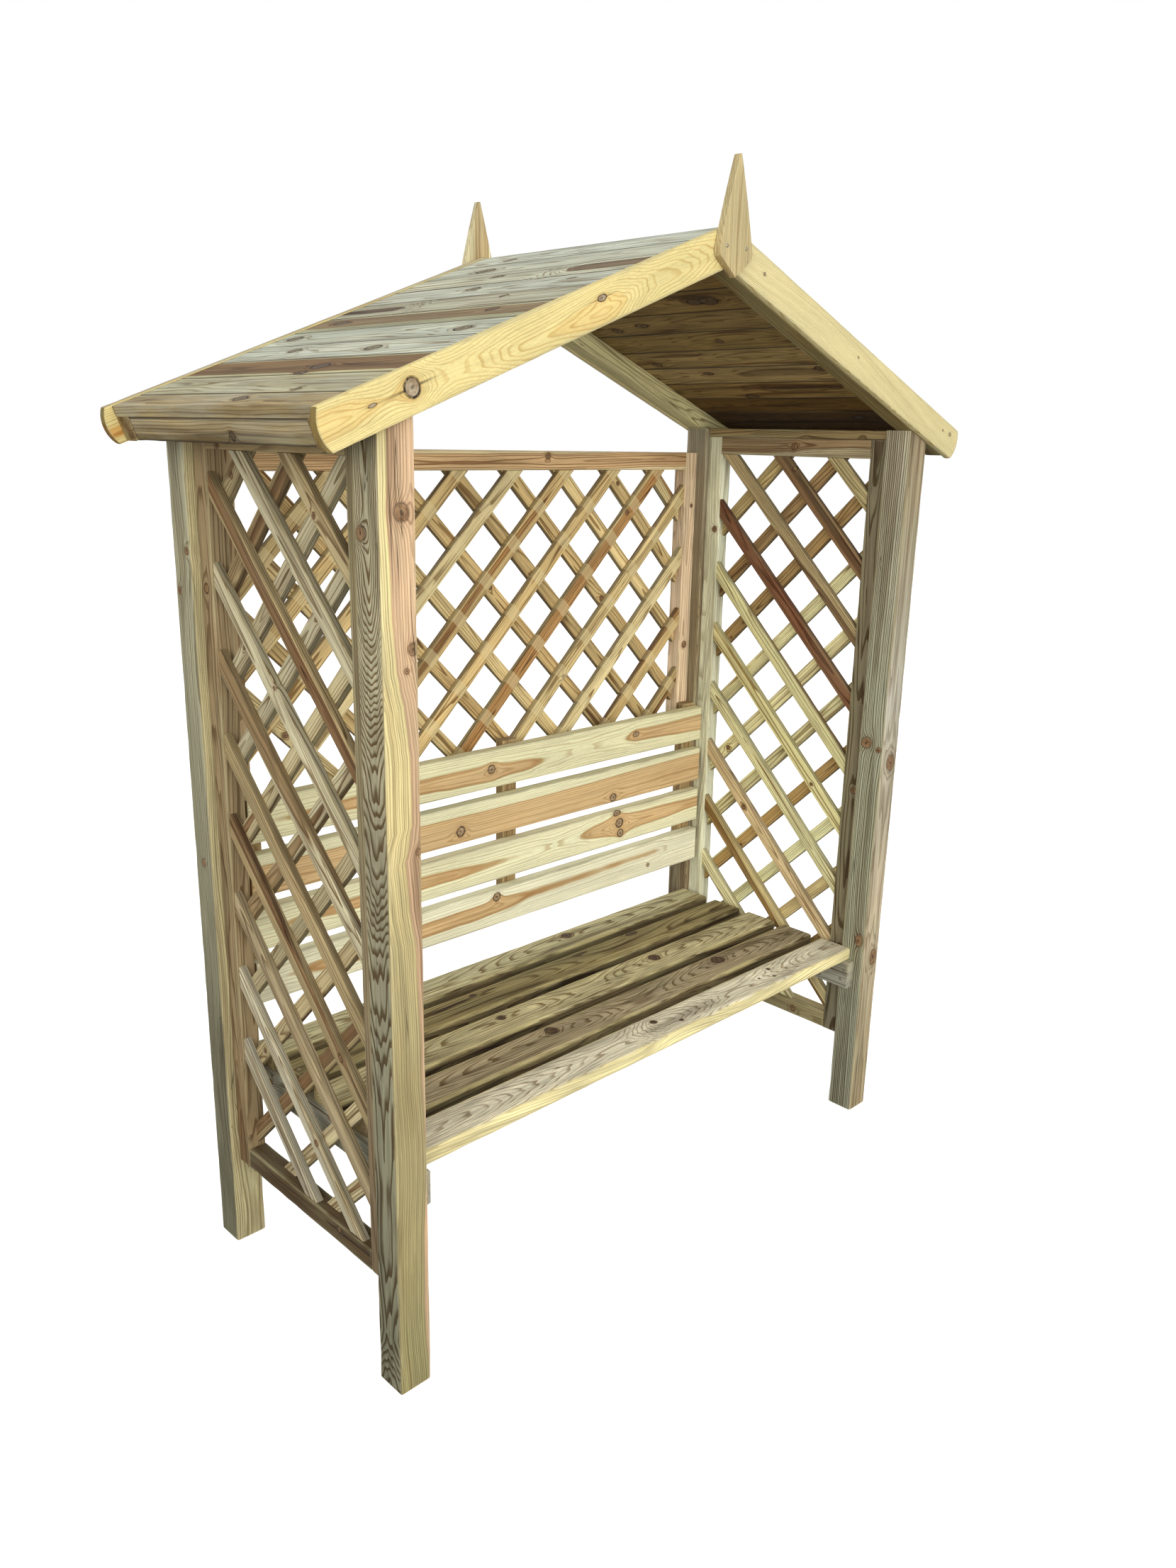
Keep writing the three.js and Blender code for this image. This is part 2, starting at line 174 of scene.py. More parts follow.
def pineMaterial(name, look):
    material = openTree(bpy.data.materials.new(name))
    look = {**pine, **look}
    grain = attribute("grain")
    ringWidth, heartRadius, contrast = parted(attribute("habit"))
    patina, stain, cracks = parted(attribute("weather"))

    # the trunk's heart strays from a straight line, so flat faces cut the rings in long tongues
    centred = grain
    for habit, detail in (("stray", 1), ("ripple", 2)):
        bent = grainNoise(grain, *look[f"{habit}Paces"], detail, output=1)
        bent = vectors("SUBTRACT", bent, (0.5, 0.5, 0.5))
        bent = vectors("MULTIPLY", bent, (0, look[habit], look[habit]))
        centred = vectors("ADD", centred, bent)
    centred = vectors("MULTIPLY", centred, (0, 1, 1))
    radius = vectors("LENGTH", centred)

    # rings bend outwards round each knot
    knotMask, tailMask, knotDistance = 0.0, 0.0, farAway
    roughEdge = times(vectors("DOT_PRODUCT", bent, (0, 1, 0)), 0.25 / look["ripple"])
    for index in range(knotSlots):
        knot = attribute(f"knot{index}")
        across, along, size = parted(knot)
        flat = vectors("LENGTH", vectors("MULTIPLY", knot, (1, 1, 0)))
        flat = sums("ADD", flat, roughEdge)
        near = sums("POWER", times(flat, 0.52), 2.0)
        swell = sums("DIVIDE", 1.15, sums("POWER", sums("ADD", near, 1.0), 2.0))
        radius = sums("SUBTRACT", radius, times(swell, size))
        knotMask = sums("MAXIMUM", knotMask, ramp(flat, 1.08, 0.88))
        knotDistance = sums("MINIMUM", knotDistance, flat)
        beside = sums("ABSOLUTE", sums("ADD", across, roughEdge))
        ahead = sums("ABSOLUTE", along)
        tail = times(ramp(beside, 0.24, 0.03), ramp(ahead, look["tailLength"], 0.7))
        tailMask = sums("MAXIMUM", tailMask, tail)
    barkMask = times(ramp(knotDistance, 0.78, 0.96), ramp(knotDistance, 1.3, 1.06))

    # earlywood darkens slowly into latewood and starts again sharply
    jitter = grainNoise(centred, 1, 70, 0)
    count = sums("ADD", sums("DIVIDE", radius, ringWidth), times(jitter, 1.6))
    phase = sums("FRACT", count)
    late = times(ramp(phase, look["lateFrom"], 0.88), ramp(phase, 1.0, 0.96))
    white = setSockets(newNode("TexWhiteNoise", noise_dimensions="1D"), {"W": sums("FLOOR", count)})
    fibre = grainNoise(grain, 22, 1500, 2, 0.6)
    uneven = sums("MULTIPLY_ADD", white.outputs["Value"], 0.45, 0.62)  # some rings are darker than others
    late = times(late, uneven, ramp(fibre, 0.2, 0.6, 0.75, 1.0))

    # heartwood lies inside its own radius, with a darker seam
    inside = sums("ADD", sums("SUBTRACT", heartRadius, radius), times(roughEdge, 0.004))
    seam = times(ramp(inside, -0.0012, 0.0002), ramp(inside, 0.0035, 0.0004))
    heartMask = ramp(inside, -0.0006, 0.0009)
    colour = blend(heartMask, attribute("sapTone", "Color"), attribute("heartTone", "Color"))
    darkTone = tinted(colour, look["lateTint"] + (1.0,))
    colour = blend(sums("MULTIPLY", late, contrast, clamp=True), colour, darkTone)
    colour = blend(times(seam, look["seam"]), colour, darkTone)

    # fibres, streaks and broad clouds of lighter and darker wood, and pores
    fibres = ramp(fibre, 0.25, 0.75, 0.86, 1.12)
    depth = look["streaks"]
    streaks = ramp(grainNoise(grain, 2.8, 230, 3, 0.6), 0.3, 0.7, 1 - depth, 1 + depth * 0.8)
    depth = look["cloud"]
    cloud = ramp(grainNoise(grain, 3.2, 22, 3), 0.25, 0.75, 1 - depth, 1 + depth)
    colour = tinted(colour, newGrey(times(fibres, streaks, cloud)))
    pores = ramp(grainNoise(grain, 160, 1900, 1), 0.66, 0.74)
    colour = blend(times(pores, look["pores"]), colour, darkTone)

    # patina, water stains and grime
    mottle = grainNoise(grain, 5, 30, 4, 0.62)
    patinaMask = times(ramp(mottle, 0.36, 0.64), patina)
    patinaTone = blend(times(late, 0.55), look["patina"], shade(look["patina"], 0.5))
    colour = blend(patinaMask, colour, patinaTone)
    stainMask = times(ramp(grainNoise(grain, 1.5, 34, 3, 0.55), 0.52, 0.66), stain)
    colour = blend(stainMask, colour, tinted(colour, look["stain"]))

    # knots: a speckled core with faint rings, a dark middle and a broken line of bark
    speckle = grainNoise(grain, 130, 130, 3)
    turns = sums("MULTIPLY_ADD", speckle, 6.0, times(knotDistance, 13.0))
    ripples = ramp(sums("SINE", turns), -1.0, 1.0)
    knotMix = sums("MULTIPLY_ADD", ripples, 0.24, ramp(speckle, 0.3, 0.7, 0.0, 0.76))
    knotTone = blend(knotMix, look["knotTone"], look["knotHeart"])
    if "knotShare" in look:
        # these knots are a darker shade of the face that they lie in
        knotTone = blend(look["knotShare"], knotTone, tinted(colour, look["knotShade"]))
    middle = ramp(sums("MULTIPLY_ADD", speckle, 0.6, knotDistance), 0.78, 0.4)
    knotTone = blend(times(middle, 0.55), knotTone, look["barkTone"])
    halo = times(ramp(knotDistance, 2.6, 0.9), look["halo"])
    colour = blend(halo, colour, tinted(colour, look["haloTone"]))
    colour = blend(times(tailMask, look["tail"]), colour, look["barkTone"])
    colour = blend(knotMask, colour, knotTone)
    barkLine = times(ramp(speckle, 0.3, 0.6, 0.45, 1.0), look["bark"])
    colour = blend(times(barkMask, barkLine), colour, look["barkTone"])

    # drying cracks run with the fibres
    split = sums("ABSOLUTE", sums("SUBTRACT", grainNoise(grain, 1.3, 95, 1), 0.5))
    where = ramp(grainNoise(grain, 4, 26, 1), 0.56, 0.64)
    crackMask = times(ramp(split, 0.011, 0.003), where, cracks)
    colour = blend(crackMask, colour, look["crackTone"])

    # sawn ends are darker, and arrises have worn
    endMask = times(attribute("endCut", "Fac"), look["endDark"])
    colour = blend(endMask, colour, tinted(colour, look["endTone"]))
    edge = attribute("edge", "Fac")
    if not look.get("evenEdge"):
        edge = times(edge, ramp(mottle, 0.35, 0.62))
    colour = blend(times(edge, look["edgeWear"]), colour, look["edgeTone"])
    if "crossings" in look:
        # the squares where the laths cross are lighter
        offCentre = sums("SUBTRACT", sums("FRACT", attribute("crossing", "Fac")), 0.5)
        lighterSquare = ramp(sums("ABSOLUTE", offCentre), look["crossings"], look["crossings"] - 0.008)
        colour = blend(times(lighterSquare, 0.75), colour, blend(0.5, colour, look["cleanTone"]))

    rough = sums("MULTIPLY_ADD", fibre, 0.22, look["roughness"])
    shader = setSockets(newNode("BsdfPrincipled"), {
        "Base Color": colour, "Specular IOR Level": look["gloss"],
        "Roughness": sums("SUBTRACT", rough, times(knotMask, 0.12))})
    height = sums("ADD", times(late, look["ringBump"]), times(fibre, look["fibreBump"]))
    height = sums("SUBTRACT", height, times(crackMask, look["crackBump"]))
    height = sums("SUBTRACT", height, times(barkMask, look["barkBump"]))
    finishShader(shader, height, look["bump"], 1.0)
    return material


print("materials")
finishes = {
    "post": {
        "patina": "#9c9a7c", "streaks": 0.2, "lateFrom": 0.4, "bark": 0.5, "tail": 0.15,
        "knotTone": "#725238", "knotHeart": "#a5855f", "edgeWear": 0.3, "stray": 0.005, "ripple": 0.0015,
    },
    "trellis_frame": {"patina": "#8c8a68", "edgeTone": "#c9bf92"},
    "trellis_laths": {
        "patina": "#a59c78", "edgeTone": "#b8a070", "edgeWear": 0.25,
        "crossings": 0.1456, "cleanTone": "#ecdba6",  # half a lath's width, in lath pitches
    },
    "roof_boards": {
        "patina": "#bfc4b4", "streaks": 0.24, "cloud": 0.22, "stain": "#8a6a50",
        "edgeWear": 0.75, "edgeTone": "#33281c", "evenEdge": True,
        "bark": 1.0, "halo": 0.35, "tail": 0.8, "tailLength": 2.4, "knotShare": 0.75,
        "knotTone": "#4c3c2a", "knotHeart": "#a08e70", "knotShade": (0.44, 0.37, 0.27, 1.0),
        "lateTint": (0.45, 0.35, 0.24),
    },
    "rafter": {"patina": "#9a956e"},
    "bargeboard": {
        "patina": "#d9cf9c", "streaks": 0.06, "cloud": 0.06, "pores": 0.15, "lateTint": (0.66, 0.45, 0.23),
        "edgeWear": 0.55, "edgeTone": "#b3a981", "endDark": 0.9, "endTone": "#a39a80", "seam": 0.15,
        "knotTone": "#8a7458", "knotHeart": "#b9a88a", "bark": 1.0, "tail": 0.75, "tailLength": 5.0,
        "stray": 0.004,
    },
    "finial": {"patina": "#a9a07a", "lateTint": (0.55, 0.42, 0.28)},
    "seat_board": {
        "patina": "#9a9468", "streaks": 0.24, "cloud": 0.3, "stain": "#7c6642", "edgeTone": "#d8c88c",
        "edgeWear": 0.55, "bark": 1.0, "tail": 0.5, "knotTone": "#3a2a1c", "knotHeart": "#6e543a",
        "lateTint": (0.36, 0.27, 0.18), "stray": 0.005, "ripple": 0.0007,
    },
    "seat_bearer": {"patina": "#a5a78a", "endDark": 0.05},
    "backrest_slat": {
        "patina": "#e0d6ac", "streaks": 0.07, "cloud": 0.07, "edgeWear": 0.5, "edgeTone": "#8c8060",
        "seam": 0.75, "stray": 0.003, "lateTint": (0.58, 0.43, 0.27),
        "knotTone": "#8c6844", "knotHeart": "#c2ab86", "bark": 1.0,
    },
    "backrest_batten": {"patina": "#9a835c"},
}
materials = {slot: pineMaterial(f"pine_{slot}", look) for slot, look in finishes.items()}

timber = {
    "arrisRim": 0.004, "endRim": 0.005,  # loops of points this far in from each arris and each end
    "pace": 0.03,  # from one loop to the next along a timber
    "nibbles": (55, 130, 130), "bite": (0.25, 1.6),  # dents in the arrises per metre, and their depth
    "branch": (0.35, 0.22),  # how far a branch leans away from the heart, and along the grain
    "knotsAlong": (0.06, 0.94), "knotsAcross": (-0.38, 0.38),  # shares of a face, for random knots
    "endFacing": 0.6,  # a face that looks this far along the timber is a sawn end
    "sharp": 38,  # edges stay sharp above this many degrees
}
habits = {"sway": (0.01, 2.2), "contrast": 0.8, "patina": 0.3, "stains": 0.4, "cracks": 0.5, "sides": {}}


def roundedSection(width, thickness, ease, fill=0):
    # a section with eased arrises: each point is (across, out, how much of an arris it is)
    halves = (width / 2, thickness / 2)
    points = []
    for quarter in range(4):
        cornerY = (halves[0] - ease) * (1 if quarter in (0, 3) else -1)
        cornerZ = (halves[1] - ease) * (1 if quarter < 2 else -1)
        for step in range(3):
            angle = (quarter + step / 2) * math.pi / 2
            points.append((cornerY + ease * math.cos(angle), cornerZ + ease * math.sin(angle), 1.0))
        reach = halves[quarter % 2] - ease - timber["arrisRim"]
        if reach <= 0:
            continue
        count = 2 + (fill if quarter % 2 == 0 else 0)
        for index in range(count):
            run = reach - 2 * reach * index / (count - 1)
            corners = ((run, halves[1]), (-halves[0], run), (-run, -halves[1]), (halves[0], -run))
            points.append((*corners[quarter], 0.0))
    return points


def bridge(body, near, far):
    # a band of faces between two rings of points
    for index in range(len(near)):
        after = (index + 1) % len(near)
        body.faces.new((near[index], near[after], far[after], far[index]))


def skin(body, rings):
    # bands from ring to ring, with both ends closed
    for near, far in zip(rings, rings[1:]):
        bridge(body, near, far)
    body.faces.new(list(reversed(rings[0])))
    body.faces.new(rings[-1])


def newMesh(name, body):
    bmesh.ops.recalc_face_normals(body, faces=body.faces)
    mesh = bpy.data.meshes.new(name)
    body.to_mesh(mesh)
    body.free()
    return mesh


def sweepTimber(section, startAt, endAt, chamfer, wear, rng):
    # runs a section from one end cut to the other, with nibbled arrises and eased ends
    shift = rng.uniform(0, 50)
    sides = [[point[turn] for point in section] for turn in (0, 1)]
    wide, deep = (max(side) - min(side) for side in sides)
    length = max(endAt(y, z) for y, z, _ in section) - min(startAt(y, z) for y, z, _ in section)
    rim = timber["endRim"]
    stations = [(0.0, 0.0, chamfer), (0.0, chamfer, 0.0), (0.0, rim, 0.0)]
    inner = max(1, round(length / timber["pace"]))
    stations += [(index / inner, 0.0, 0.0) for index in range(1, inner)]
    stations += [(1.0, -rim, 0.0), (1.0, -chamfer, 0.0), (1.0, 0.0, chamfer)]
    (paceX, paceY, paceZ), (least, most) = timber["nibbles"], timber["bite"]
    body = bmesh.new()
    rings, arris = [], []
    for number, (share, offset, inset) in enumerate(stations):
        ring = []
        for y, z, corner in section:
            inY, inZ = y * (1 - 2 * inset / wide), z * (1 - 2 * inset / deep)
            start, end = startAt(inY, inZ), endAt(inY, inZ)
            x = start + (end - start) * share + offset * min(1.0, (end - start) / (4 * rim))
            nibble = noise.noise(Vector((x * paceX, y * paceY + shift, z * paceZ)))
            bite = wear * corner * (least + max(0.0, nibble) * most)
            ring.append(body.verts.new((x, inY - math.copysign(bite, inY), inZ - math.copysign(bite, inZ))))
            atEnd = number < 2 or number > len(stations) - 3
            arris.append(1.0 if atEnd and inset == 0 else corner * (0.6 if inset else 1.0))
        rings.append(ring)
    skin(body, rings)
    return body, arris


def heartAt(look, along):
    # where the trunk's heart lies, beside a timber's own middle line: along a named path, or swaying
    if "path" in look:
        before = [place for place in look["path"] if place[0] <= along] or look["path"][:1]
        after = [place for place in look["path"] if place[0] > along] or look["path"][-1:]
        near, far = before[-1], after[0]
        share = (along - near[0]) / (far[0] - near[0]) if far[0] > near[0] else 0.0
        share = min(1.0, max(0.0, share))
        share = share * share * (3 - 2 * share)
        return [near[turn] + (far[turn] - near[turn]) * share for turn in (1, 2)]
    amount, pace = look["sway"]
    past = along - look["middle"]
    heart = []
    for turn in (0, 1):
        swayed = noise.noise(Vector((along * pace + look["shift"] * (3 + 4 * turn), 7.3, 1.7)))
        heart.append(look["pith"][turn] + look["lean"][turn] * past + amount * swayed)
    return heart


def sideOf(place, width, thickness, ease=0.0025):
    # names the side of the timber that a point lies on
    spareY, spareZ = width / 2 - abs(place.y), thickness / 2 - abs(place.z)
    if spareY < spareZ and spareY < ease:
        return "left" if place.y < 0 else "right"
    return "under" if place.z < 0 else "over"


def knotFrame(look, knot, size):
    # a branch leaves the heart and comes out at the named place on a face
    spot, radius = Vector(knot[:3]), knot[3]
    stretch = knot[4] if len(knot) > 4 else 1.0  # how much longer the knot is along the grain
    side = sideOf(spot, size[1], size[2])
    heart = heartAt({**look, **look["sides"].get(side, {})}, spot.x)
    outward = {"left": -yAxis, "right": yAxis, "under": -zAxis, "over": zAxis}[side]
    fromHeart = Vector((0, spot.y - heart[0], spot.z - heart[1])).normalized()
    away, ahead = timber["branch"]
    branch = (outward + away * fromHeart + ahead * xAxis).normalized()
    first = branch.cross(xAxis).normalized()
    return spot, first / radius, branch.cross(first).normalized() / (radius * stretch), radius


def toneAlong(stops, along):
    # the tone between the two stops on either side of a place along the timber
    for (near, first), (far, last) in zip(stops, stops[1:]):
        if along <= far:
            share = min(1.0, max(0.0, (along - near) / (far - near)))
            return [a + (b - a) * share for a, b in zip(first, last)]
    return stops[-1][1]


def writeAttribute(mesh, name, kind, values, domain="POINT"):
    field = {"FLOAT_VECTOR": "vector", "FLOAT_COLOR": "color", "FLOAT": "value"}[kind]
    mesh.attributes.new(name, kind, domain).data.foreach_set(field, values)


def writeGrain(mesh, look, knots, size, crossing):
    # every point's place in the trunk, and the habits that the shader reads
    places = [vertex.co for vertex in mesh.vertices]
    frames = [knotFrame(look, knot, size) for knot in knots[:knotSlots]]
    grain, habit, weather, saps, hearts = [], [], [], [], []
    for place in places:
        own = {**look, **look["sides"].get(sideOf(place, size[1], size[2]), {})}
        heart = heartAt(own, place.x)
        grain += (place.x + look["shift"], place.y - heart[0], place.z - heart[1])
        saps += toneAlong(own["sapTones"], place.x)
        hearts += own["heartTone"]
        habit += (own["ring"], look["heartRadius"], own["contrast"])
        weather += (own["patina"], own["stains"], look["cracks"])
    for name, values in (("grain", grain), ("habit", habit), ("weather", weather)):
        writeAttribute(mesh, name, "FLOAT_VECTOR", values)
    for name, values in (("sapTone", saps), ("heartTone", hearts)):
        writeAttribute(mesh, name, "FLOAT_COLOR", values)
    for index in range(knotSlots):
        values = []
        for place in places:
            if index < len(frames):
                spot, first, second, radius = frames[index]
                values += ((place - spot).dot(first), (place - spot).dot(second), radius)
            else:
                values += (farAway, farAway, 0.0001)
        writeAttribute(mesh, f"knot{index}", "FLOAT_VECTOR", values)
    cut = [1.0 if abs(face.normal.x) > timber["endFacing"] else 0.0 for face in mesh.polygons]
    writeAttribute(mesh, "endCut", "FLOAT", cut, "FACE")
    if crossing:
        offset, pace = crossing
        writeAttribute(mesh, "crossing", "FLOAT", [(place.x - offset) / pace + 0.5 for place in places])


def lookFor(name, kind, length, **given):
    # a timber's own tones and habits: drawn at random for its kind, unless they are named
    rng = random.Random(name)
    sap, heart = kind["tones"][rng.randrange(len(kind["tones"]))]
    side = rng.choice((-1, 1))
    look = {
        "pith": (rng.uniform(-0.02, 0.02), side * rng.uniform(*kind.get("depth", (0.02, 0.05)))),
        "lean": (rng.uniform(-0.012, 0.012), rng.uniform(-0.03, 0.03)),
        "shift": rng.uniform(0, 40), "ring": rng.uniform(*kind.get("ring", (0.0034, 0.005))),
        "heartRadius": rng.uniform(*kind.get("heartRadius", (0.0, 0.03))),
        "sap": sap, "heart": heart, "middle": length / 2,
        **{key: kind.get(key, value) for key, value in habits.items()}, **given,
    }
    bright = 1 + rng.uniform(-1, 1) * kind.get("spread", 0.06)

    def coloured(tones):
        # one tone, or stops along the timber, made a little brighter or darker
        stops = tones["sap"]
        if not isinstance(stops, list):
            stops = [(0.0, stops), (length, tones.get("far", stops))]
        tones["sapTones"] = [(along, shade(code, bright)) for along, code in stops]
        tones["heartTone"] = shade(tones["heart"], bright)
        return tones

    own = {"sap": look["sap"], "heart": look["heart"]}
    look["sides"] = {face: coloured({**own, **tones}) for face, tones in look["sides"].items()}
    coloured(look)
    # the named sides get painted shade: their tones are darkened by a fixed share
    for face in kind.get("dimSides", ()):
        look["sides"][face] = {
            "sapTones": [(along, shade(colour, kind["dimming"])) for along, colour in look["sapTones"]],
            "heartTone": shade(look["heartTone"], kind["dimming"])}
    return look, rng


def randomKnots(rng, size, kind):
    # a few knots on either face, where none are named
    length, width, thickness = size
    found = []
    for _ in range(rng.choice(kind.get("knots", (0, 1, 1, 2)))):
        radius = rng.uniform(*kind.get("knotRadius", (0.004, 0.009)))
        side = rng.choice((-0.5, 0.5))
        along = rng.uniform(*timber["knotsAlong"]) * length
        across = rng.uniform(*timber["knotsAcross"]) * width
        found.append((along, across, side * thickness, radius))
    return found


def finishPiece(name, mesh, replaces=None):
    mesh.shade_smooth()
    mesh.set_sharp_from_angle(angle=math.radians(timber["sharp"]))
    piece = bpy.data.objects.new(name, mesh)
    bpy.context.scene.collection.objects.link(piece)
    if replaces:
        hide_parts(replaces)
    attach(piece, "root")


def dressTimber(name, slot, body, arris, origin, along, across, size, look, knots, replaces, crossing=None):
    # gives a swept body its grain and its place
    mesh = newMesh(name, body)
    writeAttribute(mesh, "edge", "FLOAT", arris)
    writeGrain(mesh, look, knots, size, crossing)
    mesh.materials.append(materials[slot])
    matrix = Matrix((along, across, along.cross(across))).transposed().to_4x4()
    matrix.translation = origin
    mesh.transform(matrix)
    finishPiece(name, mesh, replaces)


def makeTimber(name, slot, origin, along, across, size, kind, replaces, startAt=None, endAt=None,
               section=None, knots=None, crossing=None, **given):
    # one timber: its length runs along local x, its width along y and its thickness along z
    length, width, thickness = size
    look, rng = lookFor(name, kind, length, **given)
    knots = randomKnots(rng, size, kind) if knots is None else knots
    startAt = startAt or (lambda across, out: 0.0)
    endAt = endAt or (lambda across, out: length)
    section = section or roundedSection(width, thickness, kind.get("ease", 0.002))
    chamfer, wear = kind.get("chamfer", 0.0008), kind.get("wear", 0.0006)
    body, arris = sweepTimber(section, startAt, endAt, chamfer, wear, rng)
    dressTimber(name, slot, body, arris, origin, along, across, size, look, knots, replaces, crossing)


def nodeTimber(node, slot, along, across, kind, **given):
    # a straight timber that stands for one node of the frame, cut to that node's box
    low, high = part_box(node)
    spans = [abs((high - low).dot(axis)) for axis in (along, across, along.cross(across))]
    origin = (low + high) / 2 - along * spans[0] / 2
    given = {**kind.get(node, {}), **given}
    makeTimber(f"{node}_timber", slot, origin, along, across, spans, kind, node, **given)


print("posts")
posts = {
    "tones": [("#c0b794", "#a98a62")], "ease": 0.003, "wear": 0.0008, "ring": (0.0036, 0.0046),
    "contrast": 0.85, "patina": 0.35, "cracks": 0.8, "sway": (0.016, 2.6),
    "post_front_left": {
        "sap": [(0.1, "#a09666"), (0.65, "#b4a474"), (1.15, "#decc92"), (1.65, "#f4e4a6")],
        "heart": "#d9b791", "heartRadius": 0.052, "ring": 0.0044, "patina": 0.15, "contrast": 0.6,
        "path": [
            (0, 0.078, -0.016), (0.13, 0.071, -0.016), (0.3, 0.073, -0.016), (0.5, 0.081, -0.016),
            (0.7, 0.074, -0.016), (0.9, 0.068, -0.016), (1.0, 0.055, -0.016), (1.08, 0.048, -0.016),
            (1.12, 0.064, -0.016), (1.25, 0.064, -0.016), (1.32, 0.056, -0.016), (1.4, 0.04, -0.016),
            (1.5, 0.033, -0.016), (1.7, 0.029, -0.016)],
        "knots": [
            (1.648, 0.008, -0.035, 0.014), (1.432, 0.025, -0.035, 0.01), (1.397, 0.012, -0.035, 0.005),
            (1.085, 0.028, -0.035, 0.006), (1.614, -0.035, 0.016, 0.012)],
        "sides": {"left": {
            "sap": [(0.1, "#86846a"), (0.65, "#9a967a"), (1.15, "#a69e80"), (1.65, "#d4cca6")],
            "heart": "#b9b190", "contrast": 1.6, "patina": 0.05, "ring": 0.0026,
            "path": [
                (0, 0.092, -0.002), (0.12, 0.105, 0.002), (0.32, 0.099, 0), (0.6, 0.0985, -0.004),
                (0.85, 0.088, 0), (1.1, 0.063, -0.004), (1.2, 0.055, -0.002), (1.56, -0.001, 0),
                (1.78, -0.008, 0.002)],
        }},
    },
    "post_front_right": {
        "sap": [(0.1, "#b8a47e"), (0.65, "#c6b698"), (1.15, "#b8b2a0"), (1.65, "#ae9e7e")],
        "pith": (-0.006, 0.088), "heartRadius": 0.05, "ring": 0.0044, "contrast": 0.8,
        "sway": (0.005, 1.6), "lean": (0.003, 0.001),
        "knots": [
            (1.035, -0.035, 0.013, 0.014), (1.022, -0.035, -0.023, 0.007),
            (0.5, -0.035, -0.017, 0.011, 1.6), (0.985, 0.007, -0.035, 0.016, 1.3),
            (0.445, 0.012, -0.035, 0.015, 1.4)],
        "sides": {"left": {
            "sap": [(0.1, "#b2b49a"), (0.65, "#b4b89e"), (1.15, "#b4b8a0"), (1.65, "#cac6ac")],
            "contrast": 1.8, "patina": 0.15, "ring": 0.0056,
            "path": [(0, -0.02, 0.2), (1.1, -0.03, 0.206), (1.8, -0.02, 0.196)],
        }},
    },
    "post_rear_left": {
        "sap": [(0, "#77745c"), (0.45, "#7b775f"), (0.9, "#a8a487"), (1.7, "#c4bf9e")], "heart": "#a58b60",
        "pith": (0.02, -0.05), "heartRadius": 0.03,
        "knots": [(1.461, -0.035, 0.02, 0.007), (1.54, -0.035, -0.02, 0.008), (0.9, -0.035, 0, 0.008)],
        "sides": {"under": {"sap": "#c9bd8e", "heart": "#a9804e", "patina": 0.1}},
    },
    "post_rear_right": {
        "sap": "#cfc6a0", "heart": "#b3976a", "knots": [(1.3, -0.02, -0.035, 0.008)],
        "sides": {side: {"sap": [(1.35, "#928061"), (1.7, "#b0a48a")], "heart": "#836848"}
                  for side in ("left", "under")},
    },
}
pitch = math.radians(21.3)
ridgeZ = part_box("bargeboard_front_left")[1].z
for end in ("front", "rear"):
    for sideName, side in bothSides:
        node = f"post_{end}_{sideName}"
        low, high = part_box(node)

        def topAt(across, out):
            return high.z - ((high.x - low.x) / 2 + side * across) * math.tan(pitch)

        nodeTimber(node, "post", zAxis, xAxis, posts, endAt=topAt)

